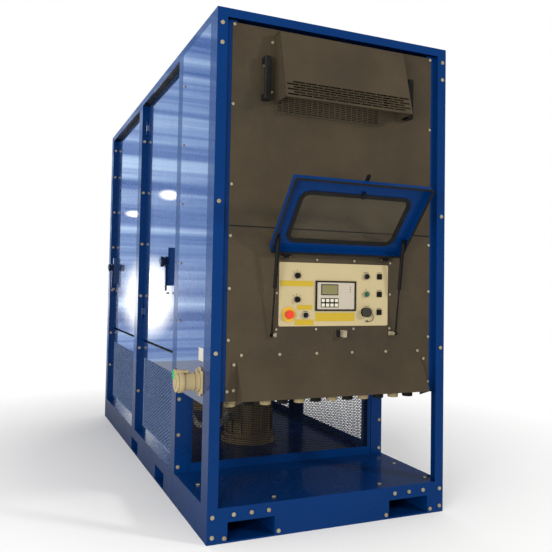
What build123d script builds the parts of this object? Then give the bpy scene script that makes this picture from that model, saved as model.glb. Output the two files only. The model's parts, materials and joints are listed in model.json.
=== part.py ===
from build123d import *
import math
import os

# Generator load bank: a bolted steel cabinet on a fork-pocket skid, with a control
# enclosure at the front, two fan and resistor bays behind it, and an exhaust grille on top.
# Millimetres, +Z up.  The front faces -Y, the left side -X.  The origin is the centre of
# the skid's footprint, at its underside.

# ---------------------------------------------------------------- driving dimensions
width = 1220.0              # overall, across the front
length = 2860.0             # overall, front to back
height = 2320.0             # overall

base_height = 150.0         # skid, to the top of the deck plate
deck_plate_t = 4.0
base_wall = 5.0
base_flange = 50.0
centre_member = 60.0        # width of the crossmembers' flanges

pocket_width = 220.0        # fork pockets in the ends
pocket_height = 80.0
pocket_bottom = 7.0
pocket_centre = 407.0       # from the centre line
tunnel_width = 205.0        # fork tunnels through the sides
tunnel_stations = (885.0, 1590.0)   # from the front face
tunnel_wall = 3.0

rail_height = 39.0          # top rail
rail_flange = 60.0
frame_wall = 4.0
sheet = 2.5                 # panels

post_face = 48.0            # corner post, front leg
post_side = 95.0            # corner post, side leg
post_return = 20.0          # step back to the front panels
trim_flange = 52.0          # flange behind the front panels' edges

divider_front = 565.0       # stations from the front face
divider_rear = 649.0
mid_front = 1600.0
mid_rear = 1700.0
rear_front = 2780.0
channel_depth = 69.0        # posts between the bays, in from the side
door_recess = 36.0
door_gap = 5.5
door_depth = 25.0
door_bottom = 740.0
door_top_gap = 11.0
screen_gap = 15.0           # below the doors
screen_margin = 75.0
screen_bottom = 192.0
screen_top = 624.0
screen_t = 3.0

panel_half = 533.0          # front panels
panel_bottom = 595.0
panel_seam = 1365.0
panel_top = height - rail_height - 11
seam_gap = 2.0

plate_half = 288.0          # control plate
plate_top = panel_seam - 154
plate_bottom = plate_top - 291
plate_mid = (plate_bottom + plate_top) / 2
plate_t = 2.0

hood_half = 328.0           # vent hood over the panel's outlet
hood_top = panel_top - 27
hood_bottom = hood_top - 316
hood_top_depth = 56.0
hood_bottom_depth = 140.0
hood_flange = 25.0

cable_hood_half = 483.0
cable_hood_top = panel_bottom + 180
cable_hood_lip = panel_bottom + 11
cable_hood_depth = 80.0

cover_half = 345.0          # hinged cover of the controls
cover_height = 388.0
cover_depth = 36.0
cover_wall = 2.0
cover_open = 139.0          # degrees from shut, the stance modelled
cover_out = 42.0            # face of the shut cover, out from the panel
cover_pin_out = 13.0        # hinge pin, out from the panel
cover_pin_above = 24.0      # hinge pin, above the cover's edge
cover_pin_height = plate_top + 24.5
window_half = 284.0
window_low = 40.0           # from the hinge edge of the cover
window_high = 318.0
window_corner = 42.0

strut_half = 326.0          # gas struts
strut_foot_height = plate_bottom - 38
strut_foot_out = 14.0
strut_head_along = 84.0     # from the cover's hinge edge
strut_head_in = 17.0        # from the cover's outer face
strut_radius = 9.0
rod_radius = 4.0
eye_radius = 8.0
eye_t = 10.0
eye_pin = 4.0
running = 0.08              # radial clearance of pins and shafts
strut_shut = 246.0          # eye to eye with the cover shut

fan_radius = 400.0
fan_tip_gap = 12.0
fan_deck = 716.0
fan_deck_t = 4.0
fan_ring_height = 116.0
motor_foot_top = 186.0
motor_radius = 150.0
motor_foot_radius = 168.0
motor_top = 545.0
shaft_radius = 19.0

seat = 0.3                  # gap between pieces that rest on each other

# ---------------------------------------------------------------- derived places
half_w = width / 2
front = -length / 2
back = length / 2
rail_bottom = height - rail_height
deck_top = base_height
deck_bottom = base_height - deck_plate_t
panel_y = front + post_return           # face of the front panels
trim_y = panel_y + sheet + seat
opening = math.radians(cover_open)


def station(distance):
    """Y of a distance back from the front face."""
    return front + distance


def front_plane(distance):
    """Plane facing forward, with local x = X and local y = Z."""
    return Plane(origin=(0, station(distance), 0), x_dir=(1, 0, 0), z_dir=(0, -1, 0))


def left_plane(x):
    """Plane facing left, with local x = -Y and local y = Z."""
    return Plane(origin=(x, 0, 0), x_dir=(0, -1, 0), z_dir=(-1, 0, 0))


def block(x, y, z, mode=Mode.ADD):
    """Box between two limits on each axis."""
    with Locations(((x[0] + x[1]) / 2, (y[0] + y[1]) / 2, (z[0] + z[1]) / 2)):
        Box(x[1] - x[0], y[1] - y[0], z[1] - z[0], mode=mode)


def folded(plane, points, wall):
    """Sheet section of one thickness along a folded line."""
    with BuildSketch(plane) as section:
        with BuildLine():
            Polyline(*points)
            offset(amount=wall, side=Side.LEFT, kind=Kind.INTERSECTION)
        make_face()
    return section.sketch


def bolt_heads(plane, points, across, tall):
    """Hexagon heads standing on a plane."""
    with BuildSketch(plane) as heads:
        with Locations(*points):
            RegularPolygon(across / 2, 6, major_radius=False)
    extrude(heads.sketch, amount=tall)


def cord_radii(route):
    """Bend radii of a cord, each as large as its two runs allow."""
    radii = []
    for before, corner, after in zip(route, route[1:], route[2:]):
        first = Vector(*corner) - Vector(*before)
        second = Vector(*after) - Vector(*corner)
        half_turn = math.radians(first.get_angle(second) / 2)
        radii.append(0.45 * min(first.length, second.length) / math.tan(half_turn))
    return radii


def cord_tube(route, radius, flats):
    """Cord along straight runs joined by tangent arcs."""
    radii = cord_radii(route)
    print("cord bends", [round(value) for value in radii])
    with BuildLine() as line:
        FilletPolyline(*route, radius=radii)
    with BuildSketch(Plane(origin=line.line @ 0, z_dir=line.line % 0)) as section:
        RegularPolygon(radius, flats)
    sweep(section.sketch, path=line.line)
    print("cord length", round(sum(edge.length for edge in line.line.edges())))


os.makedirs("parts", exist_ok=True)


def keep(builder, name):
    """Label a finished piece and write it."""
    builder.part.label = name
    export_step(builder.part, f"parts/{name}.step")


# ---------------------------------------------------------------- skid
end_half = half_w - post_face       # the end channels fit between the corner posts
side_from = front + post_side
side_to = back - post_side
inner_x = half_w - base_flange
member_ys = (station(tunnel_stations[0] - 220), 0.0, station(tunnel_stations[1] + 300),
             station(tunnel_stations[1] + 700))

with BuildPart() as base_frame:
    for sign in (-1, 1):
        edge = sign * half_w
        inner = sign * (half_w - base_wall)
        block(sorted((edge, inner)), (side_from, side_to), (0, deck_bottom))
        for level in (0, deck_bottom - base_wall):
            block(sorted((edge, sign * inner_x)), (side_from, side_to), (level, level + base_wall))
        end = sign * back
        end_in = sign * (back - base_wall)
        block((-end_half, end_half), sorted((end, end_in)), (0, deck_bottom))
        for level in (0, deck_bottom - base_wall):
            block((-end_half, end_half), sorted((end, sign * (back - base_flange))),
                  (level, level + base_wall))
        corner_y = sorted((sign * (back - base_flange), sign * (back - post_side)))
        for level in (0, deck_bottom - base_wall):
            block((-half_w + base_wall, -inner_x), corner_y, (level, level + base_wall))
            block((inner_x, half_w - base_wall), corner_y, (level, level + base_wall))
    for y in member_ys:
        block((-half_w + base_wall, half_w - base_wall), (y - base_wall / 2, y + base_wall / 2),
              (0, deck_bottom))
        for level in (0, deck_bottom - base_wall):
            block((-half_w + base_wall, half_w - base_wall),
                  (y - centre_member / 2, y + centre_member / 2), (level, level + base_wall))
    pocket_top = pocket_bottom + pocket_height
    tunnel_clear = tunnel_width / 2 + tunnel_wall
    pocket_clear = pocket_width / 2 + tunnel_wall
    for x in (-pocket_centre, pocket_centre):
        block((x - pocket_clear, x + pocket_clear), (front - 1, back + 1),
              (pocket_bottom - tunnel_wall, pocket_top + tunnel_wall), mode=Mode.SUBTRACT)
    for distance in tunnel_stations:
        y = station(distance)
        block((-half_w - 1, half_w + 1), (y - tunnel_clear, y + tunnel_clear),
              (pocket_bottom - tunnel_wall, pocket_top + tunnel_wall), mode=Mode.SUBTRACT)
    groove = 3.0
    for distance in (divider_front + 30, mid_front - 20):
        for sign in (-1, 1):
            block(sorted((sign * half_w, sign * (half_w - groove))),
                  (station(distance) - groove / 2, station(distance) + groove / 2),
                  (0, deck_bottom), mode=Mode.SUBTRACT)
keep(base_frame, "base_frame")

with BuildPart() as fork_tunnels:
    y_first = station(tunnel_stations[0]) - tunnel_width / 2 - tunnel_wall
    y_last = station(tunnel_stations[1]) + tunnel_width / 2 + tunnel_wall
    z_low, z_high = pocket_bottom - tunnel_wall, pocket_top + tunnel_wall
    for distance in tunnel_stations:
        y = station(distance)
        block((-half_w, half_w), (y - tunnel_clear, y + tunnel_clear), (z_low, z_high))
    for y in tunnel_stations:
        block((-half_w, half_w), (station(y) - tunnel_width / 2, station(y) + tunnel_width / 2),
              (pocket_bottom, pocket_top), mode=Mode.SUBTRACT)
    for span in ((front, y_first - seat), (y_last + seat, back)):
        for x in (-pocket_centre, pocket_centre):
            block((x - pocket_clear, x + pocket_clear), span, (z_low, z_high))
            block((x - pocket_width / 2, x + pocket_width / 2), span, (pocket_bottom, pocket_top),
                  mode=Mode.SUBTRACT)
keep(fork_tunnels, "fork_tunnels")

with BuildPart() as deck_plate:
    notch_x = half_w - frame_wall - seat
    notch_y = back - post_side - seat
    block((-notch_x, notch_x), (-notch_y, notch_y), (deck_bottom, deck_top))
    block((-end_half + seat, end_half - seat), (front, back), (deck_bottom, deck_top))
    block((-half_w, -notch_x), (-notch_y, notch_y), (deck_bottom, deck_top))
    block((notch_x, half_w), (-notch_y, notch_y), (deck_bottom, deck_top))
keep(deck_plate, "deck_plate")

# ---------------------------------------------------------------- frame posts
with BuildPart() as front_posts:
    x_in = half_w - post_face
    corner = ((-half_w, front + post_side), (-half_w, front), (-x_in, front))
    extrude(folded(Plane.XY, corner, frame_wall), amount=rail_bottom)
    trim = ((-x_in - frame_wall, front), (-x_in, front), (-x_in, trim_y),
            (-x_in + trim_flange, trim_y))
    extrude(folded(Plane.XY.offset(panel_bottom), trim, frame_wall),
            amount=rail_bottom - panel_bottom)
    mirror(about=Plane.YZ)
keep(front_posts, "front_posts")


def channel_posts(start, end):
    """A pair of channels between two bays, their open side towards the middle."""
    x_leg = half_w - channel_depth
    outline = ((-x_leg, station(end)), (-half_w, station(end)),
               (-half_w, station(start)), (-x_leg, station(start)))
    section = folded(Plane.XY.offset(deck_top), outline, frame_wall)
    extrude(section, amount=rail_bottom - deck_top)
    mirror(about=Plane.YZ)


with BuildPart() as divider_posts:
    channel_posts(divider_front, divider_rear)
keep(divider_posts, "divider_posts")

with BuildPart() as mid_posts:
    channel_posts(mid_front, mid_rear)
keep(mid_posts, "mid_posts")

with BuildPart() as rear_posts:
    foot = ((-x_in, back), (-half_w, back), (-half_w, back - post_side))
    extrude(folded(Plane.XY, foot, frame_wall), amount=deck_top)
    upper = ((-x_in, back), (-half_w, back), (-half_w, station(rear_front)),
             (-x_in, station(rear_front)))
    extrude(folded(Plane.XY.offset(deck_top), upper, frame_wall), amount=rail_bottom - deck_top)
    mirror(about=Plane.YZ)
keep(rear_posts, "rear_posts")

with BuildPart() as top_rails:
    with BuildSketch(Plane.XY.offset(rail_bottom)):
        Rectangle(width, length)
        Rectangle(width - 2 * frame_wall, length - 2 * frame_wall, mode=Mode.SUBTRACT)
    extrude(amount=rail_height - frame_wall)
    with BuildSketch(Plane.XY.offset(height - frame_wall)):
        Rectangle(width, length)
        Rectangle(width - 2 * rail_flange, length - 2 * rail_flange, mode=Mode.SUBTRACT)
    extrude(amount=frame_wall)
    block((-half_w + frame_wall, half_w - frame_wall),
          (station(divider_front), station(divider_rear)), (height - frame_wall, height))
keep(top_rails, "top_rails")

# ---------------------------------------------------------------- cladding
roof_top = height - frame_wall - seat
box_half = half_w - frame_wall - seat
with BuildPart() as outer_panels:
    panel_from = station(post_side) + seat
    panel_to = station(divider_front) - seat
    hem = 20.0
    outline = ((-half_w, rail_bottom - seat), (-half_w, panel_bottom - hem),
               (-half_w + hem, panel_bottom - hem))
    extrude(folded(Plane.XZ.offset(-panel_to), outline, sheet), amount=panel_to - panel_from)
    mirror(about=Plane.YZ)
    with BuildSketch(front_plane(length)):
        with Locations((0, (deck_top + rail_bottom) / 2)):
            Rectangle(2 * (end_half - seat), rail_bottom - deck_top - 2 * seat)
    extrude(amount=sheet)
    block((-box_half, box_half), (front + frame_wall + seat, station(divider_rear)),
          (roof_top - sheet, roof_top))
keep(outer_panels, "outer_panels")

with BuildPart() as enclosure_box:
    wall_y = station(divider_front) - seat
    outline = ((trim_y + frame_wall + seat, panel_bottom), (wall_y, panel_bottom),
               (wall_y, rail_bottom - seat))
    extrude(folded(Plane.YZ.offset(-box_half), outline, sheet), amount=2 * box_half)
keep(enclosure_box, "enclosure_box")

with BuildPart() as upper_front_panel:
    with BuildSketch(front_plane(post_return)):
        low, high = panel_seam + seam_gap / 2, panel_top
        with Locations((0, (low + high) / 2)):
            Rectangle(2 * panel_half, high - low)
        outlet_low, outlet_high = hood_bottom + 60, hood_top - 40
        with Locations((0, (outlet_low + outlet_high) / 2)):
            Rectangle(2 * hood_half - 80, outlet_high - outlet_low, mode=Mode.SUBTRACT)
    extrude(amount=-sheet)
keep(upper_front_panel, "upper_front_panel")

with BuildPart() as lower_front_panel:
    with BuildSketch(front_plane(post_return)):
        low, high = panel_bottom, panel_seam - seam_gap / 2
        with Locations((0, (low + high) / 2)):
            Rectangle(2 * panel_half, high - low)
        with Locations((0, (plate_bottom + plate_top) / 2)):
            Rectangle(2 * plate_half - 30, plate_top - plate_bottom - 30, mode=Mode.SUBTRACT)
    extrude(amount=-sheet)
keep(lower_front_panel, "lower_front_panel")

grille_bar = 6.0
grille_depth = 16.0
grille_pitch = 62.0
grille_border = rail_flange + 12
with BuildPart() as exhaust_grille:
    grille_from = station(divider_rear) + seat
    grille_to = back - frame_wall - seat
    grille_mid = (grille_from + grille_to) / 2
    grille_low = roof_top - grille_depth
    with BuildSketch(Plane.XY.offset(grille_low)):
        with Locations((0, grille_mid)):
            Rectangle(2 * box_half, grille_to - grille_from)
            Rectangle(width - 2 * grille_border, grille_to - grille_from - 2 * grille_border,
                      mode=Mode.SUBTRACT)
    extrude(amount=grille_depth)
    bar_count = int((grille_to - grille_from - 2 * grille_border) / grille_pitch)
    with BuildSketch(Plane.XY.offset(grille_low)):
        with Locations((0, grille_mid)):
            with GridLocations(1, grille_pitch, 1, bar_count):
                Rectangle(width - 2 * grille_border + 2, grille_bar)
    extrude(amount=grille_depth)
keep(exhaust_grille, "exhaust_grille")

# ---------------------------------------------------------------- hoods and pull handles
slot_rows = 5
slot_columns = 21
slot_size = (23.0, 6.5)
slot_pitch = (29.0, 11.5)
slot_start = 31.0           # first row, up the hood's face from its edge

with BuildPart() as vent_hood:
    with BuildSketch(Plane.YZ.offset(-hood_half)):
        with BuildLine():
            Polyline((panel_y, hood_bottom + 3), (panel_y - hood_bottom_depth, hood_bottom),
                     (panel_y - hood_top_depth, hood_top), (panel_y, hood_top), close=True)
        make_face()
    extrude(amount=2 * hood_half)
    rim = vent_hood.faces().sort_by(Axis.Y)[-1:] + vent_hood.faces().sort_by(Axis.Z)[:1]
    offset(amount=-sheet, openings=rim)
    for sign in (-1, 1):
        block(sorted((sign * (hood_half - 1), sign * (hood_half + hood_flange))),
              (panel_y - sheet, panel_y), (hood_bottom + 3, hood_top))
    hood_face = Plane(origin=(0, panel_y - hood_bottom_depth, hood_bottom), x_dir=(1, 0, 0),
                      z_dir=(0, hood_bottom - hood_top, hood_bottom_depth - hood_top_depth))
    with BuildSketch(hood_face):
        for row in range(slot_rows):
            shift = slot_pitch[0] / 2 * (row % 2)
            with Locations((shift - slot_pitch[0] / 4, slot_start + row * slot_pitch[1])):
                with GridLocations(slot_pitch[0], 1, slot_columns, 1):
                    Rectangle(*slot_size)
    extrude(amount=-2 * sheet, mode=Mode.SUBTRACT)
keep(vent_hood, "vent_hood")

with BuildPart() as cable_hood:
    with BuildSketch(Plane.YZ.offset(-cable_hood_half)):
        with BuildLine():
            Polyline((panel_y, panel_bottom - 17), (panel_y - cable_hood_depth, cable_hood_lip),
                     (panel_y, cable_hood_top), close=True)
        make_face()
    extrude(amount=2 * cable_hood_half)
    rim = cable_hood.faces().filter_by(Plane.XZ) + cable_hood.faces().sort_by(Axis.Z)[:1]
    offset(amount=-sheet, openings=rim)
    for sign in (-1, 1):
        block(sorted((sign * (cable_hood_half - 1), sign * (cable_hood_half + hood_flange))),
              (panel_y - sheet, panel_y), (panel_bottom + 30, cable_hood_top - 4))
    block((-cable_hood_half + sheet, cable_hood_half - sheet),
          (panel_y - cable_hood_depth + 2, panel_y - cable_hood_depth + 16),
          (cable_hood_lip - 1, cable_hood_lip + 1.5))
keep(cable_hood, "cable_hood")

grip_half = 375.0
grip_low = hood_bottom + 8
grip_high = grip_low + 189
grip_out = 42.0
grip_radius = 9.0
with BuildPart() as pull_handles:
    mid_x = grip_half
    with BuildLine() as grip_path:
        FilletPolyline((-mid_x, panel_y - 4, grip_low + 10), (-mid_x, panel_y - grip_out, grip_low + 10),
                       (-mid_x, panel_y - grip_out, grip_high - 10), (-mid_x, panel_y - 4, grip_high - 10),
                       radius=16)
    with BuildSketch(front_plane(post_return - 4)) as grip_section:
        with Locations((-mid_x, grip_low + 10)):
            RegularPolygon(grip_radius, 8)
    sweep(grip_section.sketch, path=grip_path.line)
    with BuildSketch(front_plane(post_return)):
        with Locations((-mid_x, grip_low + 10), (-mid_x, grip_high - 10)):
            RegularPolygon(grip_radius + 5, 8)
    extrude(amount=5)
    mirror(about=Plane.YZ)
keep(pull_handles, "pull_handles")

# ---------------------------------------------------------------- control plate
plate_y = panel_y - plate_t


def plate_plane(out=0.0):
    """Plane facing forward, a distance out from the control plate's face."""
    return front_plane(plate_y - front - out)


display_centre = (1.5, plate_mid - 5.5)
display_size = (213.0, 140.0)
display_t = 7.0
display_rim = 7.0
lcd_centre = (-32.0, plate_mid + 23)
lcd_size = (82.0, 43.0)
key_centre = (-31.0, plate_mid - 37.5)
key_pitch = (23.0, 21.0)
key_size = (17.0, 15.0)
with BuildPart() as display_unit:
    with BuildSketch(plate_plane()):
        with Locations(display_centre):
            Rectangle(*display_size)
    extrude(amount=display_t)
    with BuildSketch(plate_plane(display_t)):
        with Locations(display_centre):
            Rectangle(display_size[0] - 2 * display_rim, display_size[1] - 2 * display_rim)
    extrude(amount=-4, mode=Mode.SUBTRACT)
    with BuildSketch(plate_plane(display_t - 4)):
        with Locations(lcd_centre):
            Rectangle(*lcd_size)
    extrude(amount=-1, mode=Mode.SUBTRACT)
keep(display_unit, "display_unit")

with BuildPart() as keypad:
    with BuildSketch(plate_plane(display_t - 4)):
        with Locations(key_centre):
            with GridLocations(*key_pitch, 4, 2):
                Rectangle(*key_size)
    extrude(amount=2.5, taper=12)
keep(keypad, "keypad")

selector_places = {"upper_selector": (-199.0, plate_mid + 85.5),
                   "lower_selector": (-199.0, plate_mid - 23.5)}
power_place = (166.0, plate_mid + 4.5)
lamp_place = (165.0, plate_mid + 88.5)
reset_place = (-156.0, plate_mid - 94.5)
stop_place = (-240.0, plate_mid - 91.5)
test_place = (162.0, plate_mid - 81.5)
jack_places = tuple((239.0, plate_mid + up) for up in (89.5, 4.5, -81.5))
stem_radius = 6.0
bezel_t = 3.0
switch_places = (*selector_places.values(), power_place, reset_place, lamp_place, stop_place)
with BuildPart() as control_plate:
    with BuildSketch(plate_plane()):
        with Locations((0, (plate_bottom + plate_top) / 2)):
            RectangleRounded(2 * plate_half, plate_top - plate_bottom, 8)
        with Locations(*switch_places):
            Circle(stem_radius + 1, mode=Mode.SUBTRACT)
    extrude(amount=-plate_t)
keep(control_plate, "control_plate")

with BuildPart() as switch_bezels:
    with BuildSketch(plate_plane()):
        with Locations(*selector_places.values(), power_place, reset_place, lamp_place):
            Circle(15.5)
            Circle(stem_radius + running, mode=Mode.SUBTRACT)
        with Locations(stop_place):
            Circle(34.5)
            Circle(stem_radius + running, mode=Mode.SUBTRACT)
    extrude(amount=bezel_t)
keep(switch_bezels, "switch_bezels")


def knob(place, radius, tall, bar):
    """Round knob with a stem in its bezel and a raised grip bar across it."""
    gap = bezel_t + seat
    with BuildSketch(plate_plane()) as stem:
        with Locations(place):
            Circle(stem_radius)
    extrude(stem.sketch, amount=gap + 1)
    with BuildSketch(plate_plane(gap)) as body:
        with Locations(place):
            Circle(radius)
    extrude(body.sketch, amount=tall, taper=4)
    with BuildSketch(plate_plane(gap + tall - 1)) as grip:
        with Locations(place):
            Rectangle(*bar)
    extrude(grip.sketch, amount=9, taper=6)


with BuildPart() as upper_selector:
    knob(selector_places["upper_selector"], 13.5, 10, (8, 25))
keep(upper_selector, "upper_selector")

with BuildPart() as lower_selector:
    knob(selector_places["lower_selector"], 13.5, 10, (8, 25))
keep(lower_selector, "lower_selector")

with BuildPart() as power_selector:
    knob(power_place, 12.0, 9, (8, 22))
keep(power_selector, "power_selector")


def push_button(place, radius, tall, head_radius, head_t, travel):
    """Button on a stem that slides in its bezel, with room to travel."""
    gap = bezel_t + seat + travel
    with BuildSketch(plate_plane()) as stem:
        with Locations(place):
            Circle(stem_radius)
    extrude(stem.sketch, amount=gap + 1)
    with BuildSketch(plate_plane(gap)) as body:
        with Locations(place):
            Circle(radius)
    extrude(body.sketch, amount=tall)
    with BuildSketch(plate_plane(gap + tall)) as head:
        with Locations(place):
            Circle(head_radius)
    extrude(head.sketch, amount=head_t, taper=14)


button_travel = 3.0
stop_travel = 5.0
with BuildPart() as reset_button:
    push_button(reset_place, 11.0, 5, 10.0, 3, button_travel)
keep(reset_button, "reset_button")

with BuildPart() as lamp_button:
    push_button(lamp_place, 12.0, 6, 11.0, 4, button_travel)
keep(lamp_button, "lamp_button")

with BuildPart() as stop_button:
    push_button(stop_place, 14.0, 6, 20.0, 11, stop_travel)
keep(stop_button, "stop_button")

jack_size = 27.0
socket_radius = 19.0
cap_radius = 23.0
cap_from = 12.0
lanyard_radius = 1.5
lanyard_ring_out = 7.5      # middle of the lanyard's ring, out from the plate
lanyard_turns = ((17, -3), (33, -6), (43, -20), (38, -38), (22, -45), (8, -42))
lanyard_route = [(test_place[0] + across, plate_y - lanyard_ring_out, test_place[1] + up)
                 for across, up in lanyard_turns]
with BuildPart() as panel_sockets:
    with BuildSketch(plate_plane()):
        with Locations(*jack_places):
            RectangleRounded(jack_size, jack_size, 3)
    extrude(amount=4)
    with BuildSketch(plate_plane(4)):
        with Locations(*jack_places):
            Circle(10)
    extrude(amount=5)
    with BuildSketch(plate_plane()):
        with Locations(test_place):
            Circle(cap_radius)
    extrude(amount=4)
    with BuildSketch(plate_plane(4)):
        with Locations(test_place):
            Circle(socket_radius - 3)
    extrude(amount=20)
    with BuildSketch(plate_plane(lanyard_ring_out - lanyard_radius)):
        with Locations(test_place):
            Circle(socket_radius)
            Circle(socket_radius - 4, mode=Mode.SUBTRACT)
    extrude(amount=2 * lanyard_radius)
    cord_tube(lanyard_route, lanyard_radius, 6)
    with BuildSketch(plate_plane()):
        with Locations((lanyard_route[-1][0], lanyard_route[-1][2])):
            RegularPolygon(4, 6)
    extrude(amount=lanyard_ring_out + lanyard_radius)
keep(panel_sockets, "panel_sockets")

with BuildPart() as connector_cap:
    with BuildSketch(plate_plane(cap_from)):
        with Locations(test_place):
            Circle(cap_radius)
            Circle(socket_radius - 3 + running, mode=Mode.SUBTRACT)
    extrude(amount=14)
    with BuildSketch(plate_plane(cap_from + 14)):
        with Locations(test_place):
            Circle(cap_radius)
    extrude(amount=3, taper=30)
keep(connector_cap, "connector_cap")

# ---------------------------------------------------------------- hinged cover of the controls
pin_y = panel_y - cover_pin_out
pin_z = cover_pin_height
pin_in = cover_out - cover_pin_out      # pin, in from the cover's face
along_dir = Vector(0, -math.sin(math.pi - opening), math.cos(math.pi - opening))
inward_dir = Vector(0, -math.cos(math.pi - opening), -math.sin(math.pi - opening))
cover_corner = Vector(0, pin_y, pin_z) - inward_dir * pin_in + along_dir * cover_pin_above


def cover_plane(depth=0.0):
    """Plane of the open cover: local x = X, local y = away from the hinge, z = inward."""
    origin = cover_corner + inward_dir * depth
    return Plane(origin=origin, x_dir=(1, 0, 0), z_dir=inward_dir)


def cover_point(x, along, depth):
    """Place of a point that is given on the cover."""
    return Vector(x, 0, 0) + cover_corner + along_dir * along + inward_dir * depth


latch_x = 15.0
latch_along = 327.0
latch_bore = 7.0
window_mid = (window_low + window_high) / 2
cover_fit = 0.2
hinge_half = 262.0
hinge_barrel = 6.0
hinge_pin = 3.0
leaf_t = 2.5
leaf_half = 14.0
barrel_side = 14.0

with BuildPart() as cover_frame:
    with BuildSketch(cover_plane()):
        with Locations((0, cover_height / 2)):
            RectangleRounded(2 * cover_half, cover_height, 7)
    extrude(amount=cover_depth)
    with BuildSketch(cover_plane(cover_wall)):
        with Locations((0, cover_height / 2)):
            RectangleRounded(2 * (cover_half - cover_wall), cover_height - 2 * cover_wall, 5)
    extrude(amount=cover_depth, mode=Mode.SUBTRACT)
    with BuildSketch(cover_plane()):
        with Locations((0, window_mid)):
            RectangleRounded(2 * window_half - 16, window_high - window_low - 16, window_corner)
        with Locations((latch_x, latch_along)):
            Circle(latch_bore)
    extrude(amount=cover_wall, mode=Mode.SUBTRACT)
keep(cover_frame, "cover_frame")

glass_t = 3.0
glass_from = -0.5
gasket_from = -2.5
gasket_to = 5.0
with BuildPart() as cover_gasket:
    with BuildSketch(cover_plane(gasket_from)):
        with Locations((0, window_mid)):
            RectangleRounded(2 * window_half, window_high - window_low, window_corner + 8)
            RectangleRounded(2 * window_half - 40, window_high - window_low - 40,
                             window_corner - 12, mode=Mode.SUBTRACT)
    extrude(amount=gasket_to - gasket_from)
    with BuildSketch(cover_plane(-cover_fit)):
        with Locations((0, window_mid)):
            Rectangle(2 * window_half + 8, window_high - window_low + 8)
            RectangleRounded(2 * window_half - 16 - 2 * cover_fit,
                             window_high - window_low - 16 - 2 * cover_fit,
                             window_corner - cover_fit, mode=Mode.SUBTRACT)
    extrude(amount=cover_wall + 2 * cover_fit, mode=Mode.SUBTRACT)
    with BuildSketch(cover_plane(glass_from - cover_fit)):
        with Locations((0, window_mid)):
            RectangleRounded(2 * window_half - 24, window_high - window_low - 24,
                             window_corner - 4)
    extrude(amount=glass_t + 2 * cover_fit, mode=Mode.SUBTRACT)
    seal_lip = 2.0
    with BuildSketch(cover_plane(cover_depth - 7)):
        with Locations((0, cover_height / 2)):
            RectangleRounded(2 * (cover_half + seal_lip), cover_height + 2 * seal_lip, 9)
            RectangleRounded(2 * (cover_half - cover_wall - seal_lip),
                             cover_height - 2 * (cover_wall + seal_lip), 3, mode=Mode.SUBTRACT)
    extrude(amount=8.6)
    with BuildSketch(cover_plane(cover_depth - 8)):
        with Locations((0, cover_height / 2)):
            RectangleRounded(2 * (cover_half + cover_fit), cover_height + 2 * cover_fit, 7.2)
            RectangleRounded(2 * (cover_half - cover_wall - cover_fit),
                             cover_height - 2 * (cover_wall + cover_fit), 4.8,
                             mode=Mode.SUBTRACT)
    extrude(amount=8 + cover_fit, mode=Mode.SUBTRACT)
    with BuildSketch(cover_plane(cover_depth - 7.5)):
        for x in (-hinge_half, hinge_half):
            with Locations((x, -1)):
                Rectangle(2 * leaf_half + 2, 8)
    extrude(amount=9.5, mode=Mode.SUBTRACT)
keep(cover_gasket, "cover_gasket")

with BuildPart() as cover_window:
    with BuildSketch(cover_plane(glass_from)):
        with Locations((0, window_mid)):
            RectangleRounded(2 * window_half - 24 - 2 * cover_fit,
                             window_high - window_low - 24 - 2 * cover_fit,
                             window_corner - 4 - cover_fit)
    extrude(amount=glass_t)
keep(cover_window, "cover_window")


def x_plane(point):
    """Plane facing +X through a point, for eyes, pins and barrels."""
    return Plane(origin=point, x_dir=(0, 1, 0), z_dir=(1, 0, 0))


with BuildPart() as cover_hinges:
    for x in (-hinge_half, hinge_half):
        span = leaf_half + 0.5 + barrel_side
        for start in (x - span, x + leaf_half + 0.5):
            with BuildSketch(x_plane((start, pin_y, pin_z))):
                Circle(hinge_barrel)
                with Locations(((cover_pin_out - 1) / 2, hinge_barrel / 2)):
                    Rectangle(cover_pin_out - 1, hinge_barrel)
            extrude(amount=barrel_side)
        with BuildSketch(x_plane((x - span, pin_y, pin_z))):
            Circle(hinge_pin)
        extrude(amount=2 * span)
        block((x - span, x + span), (panel_y - leaf_t, panel_y), (pin_z - 4, pin_z + 27))
keep(cover_hinges, "cover_hinges")

strut_head = cover_point(0, strut_head_along, strut_head_in)
strut_foot = Vector(0, panel_y - strut_foot_out, strut_foot_height)
stud_gap = 0.5
with BuildPart() as cover_fittings:
    foot_from = pin_in + 3.5
    for x in (-hinge_half, hinge_half):
        with BuildSketch(x_plane(cover_point(x - leaf_half, -cover_pin_above, pin_in))):
            Circle(hinge_barrel)
            Circle(hinge_pin + running, mode=Mode.SUBTRACT)
        extrude(amount=2 * leaf_half)
        with BuildSketch(cover_plane(foot_from)):
            with Locations((x, -cover_pin_above / 2 + 2)):
                Rectangle(2 * leaf_half, cover_pin_above - 4)
        extrude(amount=leaf_t)
        with BuildSketch(cover_plane(6)):
            with Locations((x, -leaf_t / 2)):
                Rectangle(2 * leaf_half, leaf_t)
        extrude(amount=foot_from + leaf_t - 6)
    for sign in (-1, 1):
        wall_x = cover_half - cover_wall
        low = sorted((sign * wall_x, sign * (strut_half - eye_t / 2)))
        with BuildSketch(x_plane(cover_point(low[0], strut_head_along, strut_head_in))):
            Circle(eye_pin)
        extrude(amount=low[1] - low[0])
        collar = sorted((sign * wall_x, sign * (strut_half + eye_t / 2 + stud_gap)))
        with BuildSketch(x_plane(cover_point(collar[0], strut_head_along, strut_head_in))):
            Circle(eye_radius)
        extrude(amount=collar[1] - collar[0])
keep(cover_fittings, "cover_fittings")

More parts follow.
